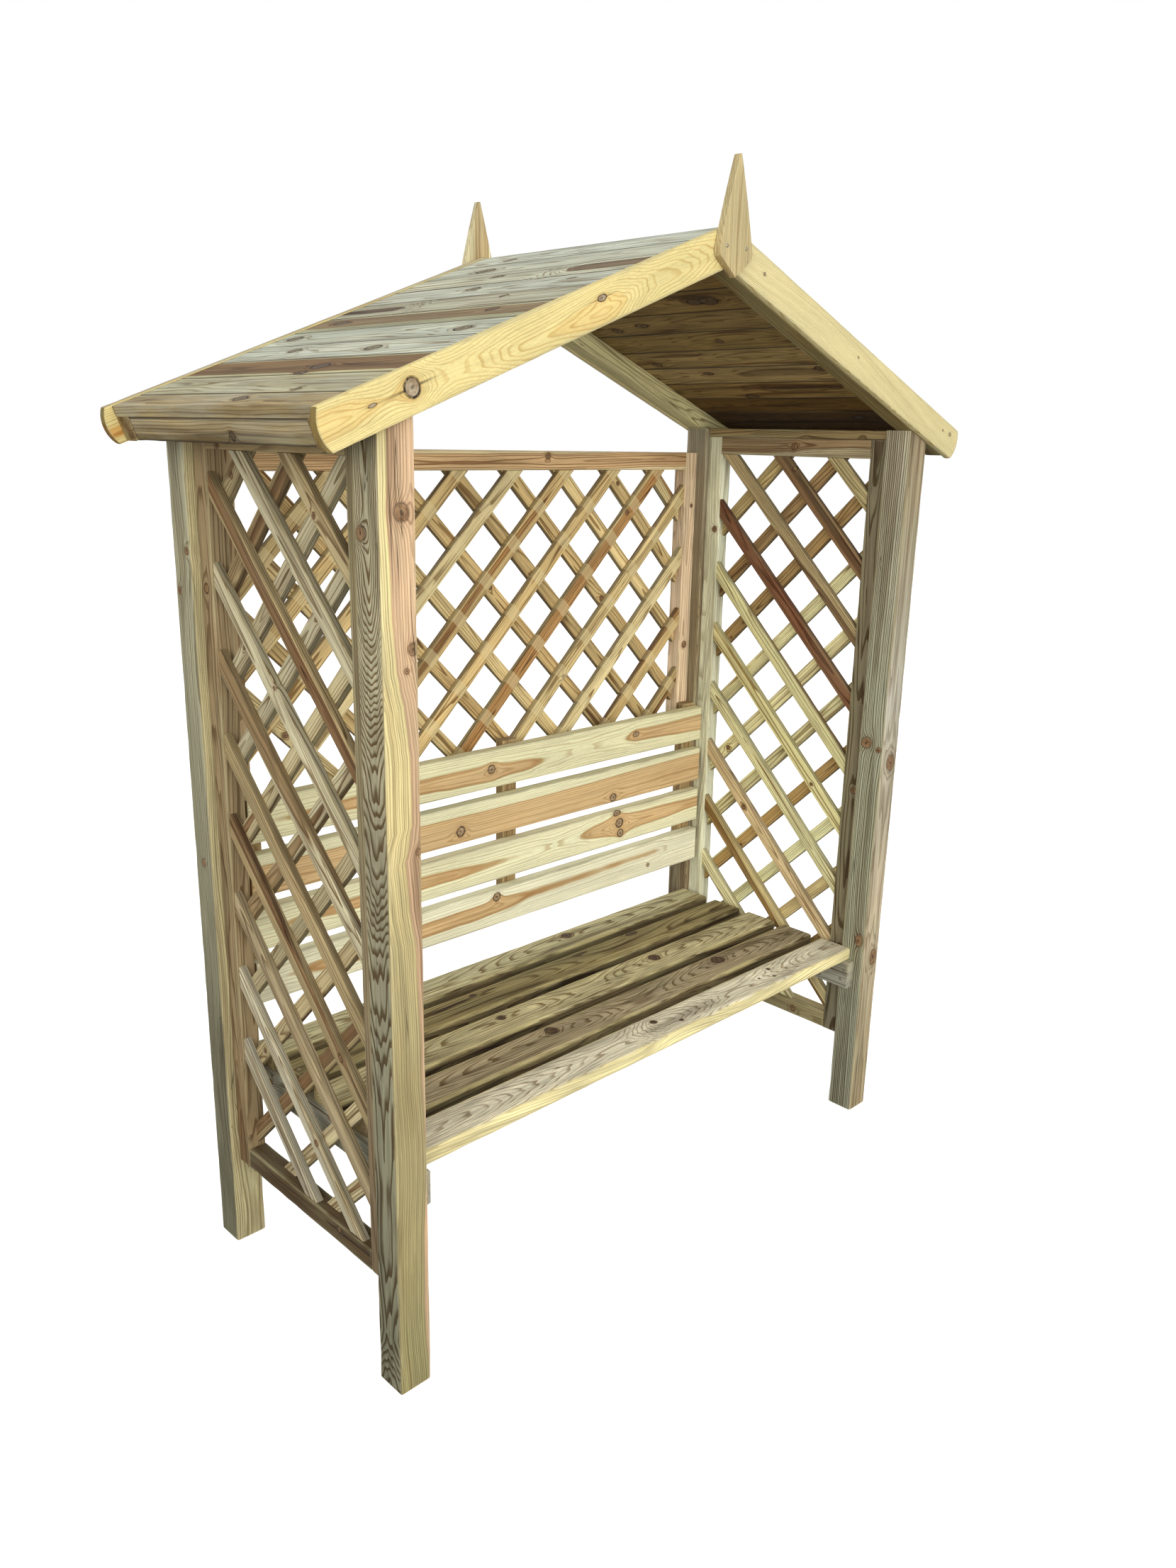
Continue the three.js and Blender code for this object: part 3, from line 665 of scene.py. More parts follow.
print("roof")
ridge = Vector((0, 0, ridgeZ))
slopes = {}
for sideName, side in bothSides:
    down = Vector((side * math.cos(pitch), 0, -math.sin(pitch)))
    slopes[sideName] = (down, Vector((side * math.sin(pitch), 0, math.cos(pitch))), side)
boardLow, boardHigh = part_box("roof_boards_right")
roofBoards = {
    "count": 11, "cover": 0.0892, "thickness": 0.02, "drop": 0.003, "lift": 0.0006,
    "joint": 0.0016, "tongueTop": 0.0065, "tongue": 0.006, "tongueReach": 0.005, "slack": 0.0003,
    "vee": 0.0022, "round": 0.0008, "flat": 0.0012, "rim": 0.0024,
    "tones": [("#bdb69a", "#8c6c48"), ("#b8b196", "#85664a"), ("#c2bda4", "#93744e")],
    "contrast": 0.95, "patina": 0.35, "stains": 0.3, "cracks": 0.6, "knots": (0, 1, 2),
    "ring": (0.004, 0.006), "knotRadius": (0.007, 0.012), "wear": 0.0002, "chamfer": 0.0004, "spread": 0.05,
    "under": {
        "patina": 0.0, "contrast": 0.75, "stains": 0.8,
        "path": [(0, 0.01, 0.02), (0.2, 0, 0.03), (0.45, -0.01, 0.018), (0.7, 0, 0.032)]},
    # tones of the tops and of the undersides, from the ridge down; the last three undersides, by the eaves,
    # are darkened as painted shade
    "turned": 4,  # the right slope's tops start this many tones before the first
    "tops": ["#d0d4c1", "#c2c4ae", "#c9cab1", "#c6c8b4", "#b7b59c", "#b6b796", "#c7cbb5", "#cfd2bc",
             "#c3be95", "#beb893", "#ad996c"],
    "ceiling": ["#876e3e", "#8b7140", "#907848", "#9a8352", "#917b4a", "#a99260", "#ad9667", "#99804d",
                "#6b5225", "#543c16", "#493412"],
    # knots as (down the slope, back from the middle, radius, stretch)
    "knotsOver": {
        "left": [
            (0.057, 0.2, 0.01, 1.5), (0.142, 0.187, 0.013, 1.9), (0.211, 0.07, 0.008, 1.5),
            (0.298, -0.228, 0.005, 2.0), (0.585, -0.253, 0.012, 1.5), (0.67, -0.108, 0.012, 1.6),
            (0.575, 0.284, 0.013, 1.5), (0.48, 0.255, 0.01, 2.2), (0.762, -0.078, 0.013, 1.6),
            (0.878, -0.176, 0.007, 1.4), (0.918, -0.068, 0.01, 1.6)],
        "right": [
            (0.22, -0.11, 0.011, 1.5), (0.33, 0.21, 0.009, 1.5), (0.55, -0.23, 0.01, 1.5),
            (0.71, 0.07, 0.011, 1.5), (0.83, -0.17, 0.009, 1.5)]},
    "knotsUnder": {
        "right": [
            (0.225, -0.145, 0.014, 1.6), (0.312, 0.122, 0.009, 1.9), (0.405, -0.042, 0.007, 1.4),
            (0.512, 0.238, 0.008, 1.7), (0.568, 0.115, 0.008, 1.7), (0.657, -0.205, 0.005, 2.4)],
        "left": [
            (0.3, 0.05, 0.011, 1.5), (0.47, -0.2, 0.009, 1.5), (0.66, 0.16, 0.01, 1.5),
            (0.8, -0.06, 0.009, 1.5)]},
    # dark bands of heartwood as (down the slope, half width, from, to: both back from the middle, tone)
    "bands": {
        "left": [
            (0.755, 0.034, -0.5, 0.5, "#876c47"), (0.484, 0.026, -0.5, 0.5, "#9c8764"),
            (0.216, 0.024, -0.5, -0.16, "#7d6a50"), (0.405, 0.014, 0.13, 0.5, "#6b5846")],
        "right": [(0.25, 0.012, -0.5, 0.1, "#8a6c4c"), (0.62, 0.025, -0.5, 0.5, "#6b5846")]},
    # how far the heart lies below a board's middle, beside a band and in it
    "deep": -0.05, "shallow": -0.012, "fade": (0.04, 0.02, 0.1), "bandContrast": 1.3,
}
slopeLength = (boardHigh.x + roofBoards["drop"] * math.sin(pitch)) / math.cos(pitch)


def ridgeCut(inward):
    # where the plumb cut at the ridge crosses a line so far below the roof's top edge
    return (inward * math.sin(pitch) + jointGap / 2) / math.cos(pitch)


def boardSection(index, low, high, board):
    # one matched board, as (down the slope, out) points: tongue below, groove above, vee underneath
    under, tongueTop = -board["thickness"], -board["tongueTop"]
    tongueFoot = tongueTop - board["tongue"]
    half, rim, reach = board["joint"] / 2, board["rim"], board["tongueReach"]
    vee, small, slack = board["vee"], board["round"], board["slack"]
    flat = vee + board["flat"]  # beyond the groove's shade
    if index == 0:
        points = [(ridgeCut(board["drop"] - under), under, 0.0), (ridgeCut(board["drop"]), 0.0, 0.5)]
    else:
        points = [
            (low + flat, under, 0.0), (low + vee, under, 1.0), (low, under + vee, 1.0),
            (low, tongueFoot - slack, 1.0), (low + reach + slack, tongueFoot - slack, 0.0),
            (low + reach + slack, tongueTop + slack, 0.0), (low + half, tongueTop + slack, 0.0),
            (low + half, -small, 1.0), (low + half + small, 0.0, 1.0)]
    points.append((low + half + rim + ridgeCut(board["thickness"]) * (index == 0), 0.0, 0.0))
    points.append((high - half - rim, 0.0, 0.0))
    if index == board["count"] - 1:
        points += [
            (high - small, 0.0, 0.4), (high, -small, 0.0), (high, under + small, 0.2),
            (high - small, under, 0.0)]
    else:
        points += [
            (high - half - small, 0.0, 1.0), (high - half, -small, 1.0), (high - half, tongueTop, 0.0),
            (high + reach, tongueTop, 0.0), (high + reach, tongueFoot, 0.0), (high, tongueFoot, 1.0),
            (high, under + vee, 1.0), (high - vee, under, 1.0), (high - flat, under, 0.0)]
    return points


joints = [index * roofBoards["cover"] for index in range(roofBoards["count"])] + [slopeLength]
length, thickness = boardHigh.y - boardLow.y, roofBoards["thickness"]
half = thickness / 2
for sideName, (down, normal, side) in slopes.items():
    along = down.cross(normal)
    for index, (upper, lower) in enumerate(zip(joints, joints[1:])):
        name = f"roof_{sideName}_board_{index + 1:02d}"
        lift = random.Random(f"{name} lift").uniform(-roofBoards["lift"], 0.0)
        middle = (upper + lower) / 2
        outline = boardSection(index, upper, lower, roofBoards)
        section = [(y - middle, z + half, corner) for y, z, corner in outline]
        origin = ridge + down * middle - normal * (roofBoards["drop"] + half - lift) - along * length / 2
        knots = []
        for key, height in (("knotsOver", half), ("knotsUnder", -half)):
            for reach, back, radius, stretch in roofBoards[key][sideName]:
                if upper <= reach < lower:
                    knots.append((back * along.y + length / 2, reach - middle, height, radius, stretch))
        # the underside's tone, with painted shade near the eaves
        beneath = roofBoards["ceiling"][index]
        deep, shallow = roofBoards["deep"], roofBoards["shallow"]
        own = {
            "sap": roofBoards["tops"][index if side < 0 else index - roofBoards["turned"]],
            "pith": (0.0, deep), "heartRadius": 0.02,
            "sides": {"under": {**roofBoards["under"], "sap": beneath, "heart": shade(beneath, 0.6)}},
        }
        for reach, spread, fromBack, toBack, heart in roofBoards["bands"][sideName]:
            if reach + spread > upper and reach - spread < lower:
                begin, finish = sorted(back * along.y + length / 2 for back in (fromBack, toBack))
                across, (before, within, after) = reach - middle, roofBoards["fade"]
                band = [(begin - before, across, deep), (begin + within, across, shallow),
                        (finish - within, across, shallow), (finish + after, across, deep)]
                own.update(heart=heart, patina=0.0, contrast=roofBoards["bandContrast"], path=band)
                own["heartRadius"] = math.hypot(half - shallow, spread)
        makeTimber(name, "roof_boards", origin, along, down, (length, lower - upper, thickness), roofBoards,
                   f"roof_boards_{sideName}", section=section, knots=knots or None, **own)

rafters = {
    "tones": [("#b09860", "#8c7044")], "depth": (0.01, 0.03), "patina": 0.3, "contrast": 0.8,
    "wear": 0.0005, "knots": (1, 2), "height": 0.045,
    "rafter_rear_right": {
        "sap": "#e1d8a0", "heart": "#c0aa6c", "patina": 0.15, "pith": (0.0, 0.05), "sway": (0.02, 2.0)},
    "rafter_front_right": {
        "sap": "#837244", "heart": "#5f4a27", "pith": (0.012, -0.03), "heartRadius": 0.024},
}
bargeboards = {
    "tones": [("#e7d694", "#dbae61")], "patina": 0.05, "stains": 0.1, "cracks": 0.1, "contrast": 0.75,
    "wear": 0.0004, "ring": (0.0036, 0.0046), "spread": 0.015,
    "width": 0.07, "ease": 0.002, "fill": 9,  # more points across, for the round end
    "bulge": 0.012, "past": 0.013,  # the round end's height, and its start past the roof
    "bargeboard_front_left": {
        "heart": "#e8cf88", "heartRadius": 0.036, "ring": 0.0025, "contrast": 0.62,
        "path": [
            (0, 0, 0.056), (0.2, 0, 0.044), (0.37, -0.01, 0.022), (0.55, -0.01, 0.03), (0.72, 0, 0.044),
            (0.82, 0.003, 0.03), (0.95, 0.004, 0.021)],
        "knots": [
            (0.797, 0.004, -0.008, 0.014), (0.366, 0.009, -0.008, 0.005, 2.0),
            (0.875, 0.004, -0.008, 0.0026, 3.0)]},
    "bargeboard_front_right": {
        "sap": "#e3d7a1", "heart": "#d9c17f", "heartRadius": 0.02, "contrast": 0.85, "ring": 0.0032,
        "path": [(0, -0.1, 0.03), (0.35, -0.085, 0.03), (0.95, -0.13, 0.03)],
        "knots": [
            (0.128, 0.003, 0.008, 0.003), (0.493, 0.004, 0.008, 0.0022), (0.899, 0.009, 0.008, 0.0022),
            (0.934, 0.013, 0.008, 0.0038)]},
    "bargeboard_rear_left": {
        "knots": [(0.62, -0.01, 0.008, 0.009)], "sides": {"right": {"sap": "#bdb49c", "heart": "#a39a80"}}},
    "bargeboard_rear_right": {
        "sap": "#e8dba6", "knots": [(0.41, 0.012, -0.008, 0.008), (0.77, -0.012, -0.008, 0.006)]},
}
eavesBoards = {
    "tones": [("#b7a274", "#94804f")], "patina": 0.25, "stains": 0.5, "knots": (1,), "contrast": 0.8,
    "height": 0.045, "thickness": 0.02, "setBack": 0.002,
    "own": {"pith": (-0.02, -0.006), "heartRadius": 0.022, "sway": (0.007, 3.0)},
}
rafterTop = roofBoards["drop"] + roofBoards["thickness"] + jointGap
for sideName, (down, normal, side) in slopes.items():
    for endName in ("front", "rear"):
        node = f"rafter_{endName}_{sideName}"
        low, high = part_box(node)
        width = rafters["height"]
        inward = rafterTop + width / 2
        origin = ridge - normal * inward + Vector((0, (low.y + high.y) / 2, 0))
        makeTimber(
            f"{node}_timber", "rafter", origin, down, normal, (slopeLength, width, high.y - low.y), rafters,
            node, startAt=lambda across, out: ridgeCut(inward - across), **rafters.get(node, {}))

        node = f"bargeboard_{endName}_{sideName}"
        low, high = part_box(node)
        width, bulge = bargeboards["width"], bargeboards["bulge"]
        endRadius = (width * width / 4 + bulge * bulge) / (2 * bulge)
        reach = slopeLength + bargeboards["past"]
        origin = ridge - normal * width / 2 + Vector((0, (low.y + high.y) / 2, 0))

        def roundEnd(across, out):
            return reach + bulge - endRadius + math.sqrt(endRadius * endRadius - across * across)

        section = roundedSection(width, high.y - low.y, bargeboards["ease"], bargeboards["fill"])
        makeTimber(
            f"{node}_timber", "bargeboard", origin, down, normal, (reach, width, high.y - low.y),
            bargeboards, node, startAt=lambda across, out: ridgeCut(width / 2 - across), endAt=roundEnd,
            section=section, **bargeboards[node])

    node = f"eaves_board_{sideName}"
    low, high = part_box(node)
    length, width, thickness = high.y - low.y, eavesBoards["height"], eavesBoards["thickness"]
    middle = slopeLength - eavesBoards["setBack"] - thickness / 2
    along = yAxis * side
    origin = ridge + down * middle - normal * (rafterTop + width / 2) - along * length / 2
    makeTimber(f"{node}_timber", "roof_boards", origin, along, normal, (length, width, thickness),
               eavesBoards, node, **eavesBoards["own"])

print("finials")
finials = {
    "tones": [("#d2bc8a", "#b49464")], "depth": (0.015, 0.03), "patina": 0.25, "contrast": 0.7,
    "planed": 0.0004,  # taken off the thickness, so that the screws stay within the frame's reach
    "shoulder": 0.046 / 0.209, "flare": (0.88, 0.68), "waist": (0.6, 0.5), "tip": 0.0025, "chamfer": 0.0009,
    "ring": (0.0036, 0.0046), "worn": 0.3, "footSteps": 4, "shoulderSteps": 5, "steps": 14,
    "front": {"sap": "#c1af80", "heart": "#a6895d"}, "rear": {"sap": "#ece1b4", "heart": "#cab284"},
}


def bend(first, middle, last, share):
    # a place on the curve that sets out from first towards middle and comes to last
    rest = 1 - share
    return tuple(rest ** 2 * p + 2 * share * rest * q + share * share * r
                 for p, q, r in zip(first, middle, last))


for endName in ("front", "rear"):
    node = f"finial_{endName}"
    low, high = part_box(node)
    half, height, thickness = (high.x - low.x) / 2, high.z - low.z, high.y - low.y - finials["planed"]
    shoulder, chamfer = finials["shoulder"], finials["chamfer"]
    (flareOut, flareUp), (waistOut, waistUp) = finials["flare"], finials["waist"]
    edgeLine = []
    for step in range(finials["footSteps"] + 1):  # the straight foot
        share = step / finials["footSteps"]
        edgeLine.append((flareOut * half * share, flareUp * shoulder * height * share))
    for step in range(1, finials["shoulderSteps"] + 1):  # the rounded shoulder
        foot, bulge = (flareOut, flareUp * shoulder), (1.0, flareUp / flareOut * shoulder)
        place = bend(foot, bulge, (1.0, shoulder), step / finials["shoulderSteps"])
        edgeLine.append((half * place[0], height * place[1]))
    waist = (waistOut * half, (shoulder + waistUp * (1 - shoulder)) * height)
    for step in range(1, finials["steps"] + 1):  # the hollow sweep up to the tip
        share = step / finials["steps"]
        edgeLine.append(bend((half, shoulder * height), waist, (finials["tip"], height), share))
    outline = edgeLine + [(-y, x) for y, x in reversed(edgeLine[1:])]
    body = bmesh.new()
    rings = []
    for out, inset in ((-0.5, chamfer), (-0.5, 0.0), (0.5, 0.0), (0.5, chamfer)):
        out *= thickness
        if inset == 0.0:
            out -= math.copysign(chamfer, out)
        ring = []
        inwards = inset * 1.2
        for y, x in outline:
            spot = (min(max(x, inwards), height - inwards), y - math.copysign(min(inwards, abs(y)), y), out)
            ring.append(body.verts.new(spot))
        rings.append(ring)
    skin(body, rings)
    name = f"{node}_timber"
    look, _ = lookFor(name, finials, height, **finials[endName])
    arris = [finials["worn"]] * sum(len(ring) for ring in rings)
    dressTimber(name, "finial", body, arris, Vector((0, (low.y + high.y) / 2, low.z)), zAxis, xAxis,
                (height, 2 * half, thickness), look, [], node)

print("trellis panels")
frames = {
    "tones": [("#b9a878", "#93754a")], "depth": (0.01, 0.03), "patina": 0.25, "knots": (1, 2),
    "contrast": 0.85, "wear": 0.0005,
    "right_panel_top_rail": {
        "sap": "#cdbf99", "heart": "#af936b", "pith": (0.004, -0.03), "heartRadius": 0.018,
        "knots": [(0.226, 0.002, -0.0205, 0.008)]},
    "right_panel_rear_stile": {"sap": "#ffffdb", "heart": "#e8dfaa", "contrast": 0.5},
    "right_panel_front_stile": {
        "ring": 0.006, "sap": "#8a8066", "heart": "#5f4c36", "contrast": 1.6, "sway": (0.016, 3.0)},
    "left_panel_front_stile": {
        "sap": "#8a7256", "far": "#b3a880", "heart": "#80664a", "contrast": 0.7, "patina": 0.1},
    "left_panel_rear_stile": {"sap": "#a58e68", "heart": "#8a6e4a", "patina": 0.1},
    "left_panel_top_rail": {"sap": "#b0976a", "heart": "#8a6c44"},
    "left_panel_bottom_rail": {"sap": "#5f4a2e", "heart": "#48341e", "contrast": 0.9},
    "back_panel_top_rail": {
        "sap": "#ffe9b6", "heart": "#eec690", "contrast": 0.9, "pith": (0.0, 0.03), "heartRadius": 0.02,
        "patina": 0.05, "knots": [(0.835, 0.011, 0.0205, 0.007)]},
    "back_panel_right_stile": {"sap": "#efd4ae", "heart": "#d4a97c", "contrast": 0.6, "patina": 0.05},
    "back_panel_left_stile": {"sap": "#cdb286", "heart": "#a9845a", "patina": 0.1},
    "wall_plate_right": {"sap": "#a58f62", "heart": "#866a42"},
}
laths = {
    "width": 0.0345, "thickness": 0.017, "pitch": 0.1185, "ease": 0.0022, "wear": 0.0004,
    "bite": 0.0002,  # how far each layer is let into the other
    "tones": [("#d9c393", "#a67c4e")], "patina": 0.15, "stains": 0.4, "knots": (0, 0, 1),
    # the laths' left and right faces are darkened as painted shade
    "knotRadius": (0.004, 0.007), "contrast": 1.0, "spread": 0.12, "dimSides": ("left", "right"),
    "dimming": 0.5, "ring": (0.0034, 0.0052), "heartRadius": (0.0, 0.024), "depth": (0.008, 0.03),
    "sway": (0.008, 2.4),
    "back": [("#e5cc90", "#b88a52"), ("#ddbf82", "#ac7f4a"), ("#ebd79f", "#c1965b")],
    "left": [("#c6b386", "#947149"), ("#ccbd92", "#9a7851"), ("#b9a376", "#85633f"), ("#d0c6a2", "#a3885f")],
    "right": [("#f7efb7", "#c4a264"), ("#fdf6bf", "#cbad72"), ("#ebd89c", "#aa874e")],
    # laths that stand out, by their number from the lower left
    "right_panel_inner": {
        11: {"sap": "#dac991"}, 10: {"sap": "#98744e", "heart": "#6a4b2f"},
        9: {"sap": "#ccb787", "heart": "#8d704e", "heartRadius": 0.014},
        8: {"sap": "#85583b", "heart": "#663e29"}, 7: {"sap": "#f3eeb3"}, 6: {"sap": "#fff3b1"},
        5: {"sap": "#f3efb9"}, 4: {"sap": "#eed5a4"}},
    "right_panel_outer": {
        11: {"sap": "#ddc78b"}, 10: {"sap": "#d5be83"}, 9: {"sap": "#b3915f", "heart": "#755333"},
        8: {"sap": "#bb9961", "heart": "#805b32"}},
    "left_panel_outer": {
        1: {"sap": "#e2dcc2", "heart": "#cdc2a2"}, 2: {"sap": "#dad2b4", "heart": "#c0b28e"},
        3: {"sap": "#c4b088", "heart": "#8f6c48"}},
}


def panelFrame(panel, stiles, right, turn):
    # stiles and rails of one panel: gives the middle and the size of the opening between them
    for stile in stiles:
        nodeTimber(f"{panel}_{stile}", "trellis_frame", zAxis, right, frames)
    for rail in ("top_rail", "bottom_rail"):
        nodeTimber(f"{panel}_{rail}", "trellis_frame", right, zAxis, frames)
    start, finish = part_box(f"{panel}_{stiles[0]}")[1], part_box(f"{panel}_{stiles[1]}")[0]
    foot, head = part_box(f"{panel}_bottom_rail")[1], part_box(f"{panel}_top_rail")[0]
    low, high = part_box(f"{panel}_top_rail")
    middle = (low + high) / 2
    middle[turn] = (start[turn] + finish[turn]) / 2
    middle.z = (head.z + foot.z) / 2
    return middle, (finish[turn] - start[turn], head.z - foot.z)


def panelLaths(panel, layer, origin, right, outward, opening, rise, offset, level, crossAt=None):
    # one layer of diagonal laths, each cut off where it meets the panel's frame
    halfWide, halfHigh = (size / 2 - jointGap for size in opening)
    root = math.sqrt(2)
    farthest = (halfWide + halfHigh) / root - laths["pitch"] / 2
    first = math.ceil((-farthest - offset) / laths["pitch"])
    last = math.floor((farthest - offset) / laths["pitch"])
    along, across = (right + zAxis * rise) / root, (zAxis - right * rise) / root
    kind = {**laths, "tones": laths[panel.split("_")[0]]}

    def reachAt(beyond):
        # from where to where a line so far across the opening runs inside it
        return (max(-halfWide * root + rise * beyond, -halfHigh * root - rise * beyond),
                min(halfWide * root + rise * beyond, halfHigh * root - rise * beyond))

    for number, step in enumerate(range(first, last + 1), 1):
        centre = offset + step * laths["pitch"]
        begin, finish = reachAt(centre)
        start = origin + across * centre + outward * level + along * begin
        makeTimber(f"{panel}_{layer}_lath_{number:02d}", "trellis_laths", start, along, across,
                   (finish - begin, laths["width"], laths["thickness"]), kind, f"{panel}_laths",
                   startAt=lambda y, z: reachAt(centre + y)[0] - begin,
                   endAt=lambda y, z: reachAt(centre + y)[1] - begin,
                   crossing=(crossAt - begin, laths["pitch"]) if crossAt else None,
                   **laths.get(f"{panel}_{layer}", {}).get(number, {}))


level = laths["thickness"] / 2 - laths["bite"]
for sideName, side in bothSides:
    panel = f"{sideName}_panel"
    middle, opening = panelFrame(panel, ("front_stile", "rear_stile"), yAxis, 1)
    nodeTimber(f"wall_plate_{sideName}", "trellis_frame", yAxis, xAxis, frames)
    panelLaths(panel, "outer", middle, yAxis * side, xAxis * side, opening, -1, 0.077, level)
    panelLaths(panel, "inner", middle, yAxis * side, xAxis * side, opening, 1, 0.021, -level)
middle, opening = panelFrame("back_panel", ("left_stile", "right_stile"), xAxis, 0)
panelLaths("back_panel", "front", middle, xAxis, -yAxis, opening, 1, -0.042, level, crossAt=0.042)
panelLaths("back_panel", "rear", middle, xAxis, -yAxis, opening, -1, 0.042, -level)

print("bench")
seatBoards = {
    "tones": [("#b3a676", "#8a7046")], "patina": 0.25, "stains": 0.6, "contrast": 1.15,
    "ring": (0.0042, 0.0052), "sway": (0.02, 1.9), "ease": 0.0045,
    "seat_board_1": {
        "sap": "#d3ca9c", "heart": "#b7a172", "heartRadius": 0.026,
        "path": [(0, 0, -0.026), (0.45, -0.01, -0.04), (0.92, 0.01, -0.014), (1.43, 0, -0.036)],
        "knots": [(0.924, 0.016, 0.0165, 0.013), (0.31, -0.02, 0.0165, 0.006)]},
    "seat_board_2": {
        "sap": "#9e9063", "heart": "#7b6945", "heartRadius": 0.03, "stains": 1.0,
        "path": [(0, 0, -0.028), (0.5, 0.02, -0.018), (1.0, -0.01, -0.036), (1.43, 0, -0.022)],
        "knots": [
            (0.506, 0.027, 0.0165, 0.006, 1.5), (1.066, 0.034, 0.0165, 0.008, 2.2),
            (0.866, 0.03, 0.0165, 0.004, 6.0)]},
    "seat_board_3": {
        "sap": "#d9cfa3", "heart": "#b8a475", "heartRadius": 0.016, "stains": 0.5,
        "path": [
            (0, 0, -0.038), (0.48, 0.015, -0.016), (0.75, 0, -0.034), (1.0, 0.01, -0.013),
            (1.43, 0, -0.042)],
        "knots": [(0.997, 0.011, 0.0165, 0.015), (0.483, 0.02, 0.0165, 0.009)]},
    "seat_board_4": {
        "sap": "#b3a484", "heart": "#947f5e", "heartRadius": 0.024,
        "path": [
            (0, 0, -0.036), (0.52, 0.01, -0.013), (0.8, -0.012, -0.036), (1.1, 0.01, -0.013),
            (1.43, 0, -0.038)],
        "knots": [(1.109, 0.017, 0.0165, 0.015), (0.526, 0.0215, 0.0165, 0.013)]},
    "seat_board_5": {
        "sap": "#eae3c9", "heart": "#d0ba9d", "contrast": 0.85, "ring": 0.0036, "patina": 0.1, "stains": 0.3,
        "heartRadius": 0.02,
        "path": [
            (0, 0, -0.012), (0.6, 0, -0.052), (0.75, 0.004, -0.026), (1.0, -0.002, -0.052),
            (1.43, 0, -0.018)],
        "knots": [
            (0.73, 0.0186, 0.0165, 0.008), (0.787, -0.018, 0.0165, 0.005), (1.163, 0.018, 0.0165, 0.005),
            (1.142, -0.017, 0.0165, 0.004), (1.101, -0.001, 0.0165, 0.003, 1.0)],
        # painted light: the front face is paler and plainer than the top
        "sides": {"left": {
            "sap": "#f2e4aa", "heart": "#e6ca88", "patina": 0.0, "stains": 0.1, "contrast": 0.5}}},
    # painted shade: the front faces that lie in the gaps between boards are darkened
    "dimEdge": {"sap": "#6c5d3f", "heart": "#55462f", "stains": 1.0},  # front edges that lie in a gap
}
# the first four boards' front faces get this painted shade
for index in range(1, 5):
    seatBoards[f"seat_board_{index}"]["sides"] = {"left": seatBoards["dimEdge"]}
bearers = {"tones": [("#b3b09c", "#938b6d")], "patina": 0.3, "knots": (1,), "contrast": 1.0}
slats = {
    "tones": [("#f8f5cb", "#e2c08a")], "patina": 0.08, "stains": 0.1, "cracks": 0.15, "contrast": 0.65,
    "ring": (0.003, 0.0042), "sway": (0.016, 1.5), "spread": 0.02,
    "backrest_slat_1": {
        "sap": "#f3efc2", "heartRadius": 0.04,
        "knots": [(0.652, 0, 0.015, 0.01), (1.161, 0.009, 0.015, 0.007, 1.5)],
        "path": [
            (0, -0.006, 0.056), (0.35, -0.006, 0.052), (0.6, -0.008, 0.05), (0.75, -0.008, 0.0525),
            (0.85, -0.004, 0.056), (0.95, 0, 0.059), (1.1, 0.003, 0.056), (1.2, 0.004, 0.0515),
            (1.43, 0.004, 0.0485)]},
    "backrest_slat_2": {
        "heartRadius": 0.06, "knots": [(0.556, -0.017, 0.015, 0.011), (1.079, -0.033, 0.015, 0.01)],
        "path": [(0, -0.03, 0.045), (0.7, -0.031, 0.046), (1.43, -0.02, 0.045)]},
    "backrest_slat_3": {
        "heartRadius": 0.04,
        "knots": [
            (1.095, 0.04, 0.015, 0.007, 1.8), (1.111, -0.02, 0.015, 0.01), (1.106, 0.01, 0.015, 0.012)],
        "path": [
            (0, 0, 0.056), (0.3, 0, 0.0525), (0.45, 0, 0.052), (0.62, -0.002, 0.0545), (0.78, 0, 0.0555),
            (0.86, 0, 0.0585), (0.94, 0.002, 0.056), (1.02, 0.004, 0.0505), (1.1, 0.004, 0.045),
            (1.2, 0.006, 0.049), (1.43, 0.008, 0.0525)]},
    "backrest_slat_4": {
        "sap": "#fbf9d8", "heartRadius": 0.04,
        "knots": [(0.669, 0.028, 0.015, 0.01), (1.228, -0.02, 0.015, 0.005)],
        "path": [
            (0, 0, 0.056), (0.3, -0.004, 0.051), (0.6, 0, 0.051), (0.7, 0.004, 0.052), (0.8, 0.008, 0.0545),
            (1.25, 0.014, 0.0546), (1.34, 0.014, 0.058)]},
}
battens = {"tones": [("#b99c6c", "#94744a")], "patina": 0.2, "knots": (1,), "contrast": 0.7}
for index in range(1, 6):
    nodeTimber(f"seat_board_{index}", "seat_board", xAxis, yAxis, seatBoards)
for sideName in ("left", "right"):
    nodeTimber(f"seat_bearer_{sideName}", "seat_bearer", yAxis, zAxis, bearers)
for index in range(1, 5):
    nodeTimber(f"backrest_slat_{index}", "backrest_slat", xAxis, zAxis, slats)
for place in ("left", "middle", "right"):
    nodeTimber(f"backrest_batten_{place}", "backrest_batten", zAxis, xAxis, battens)

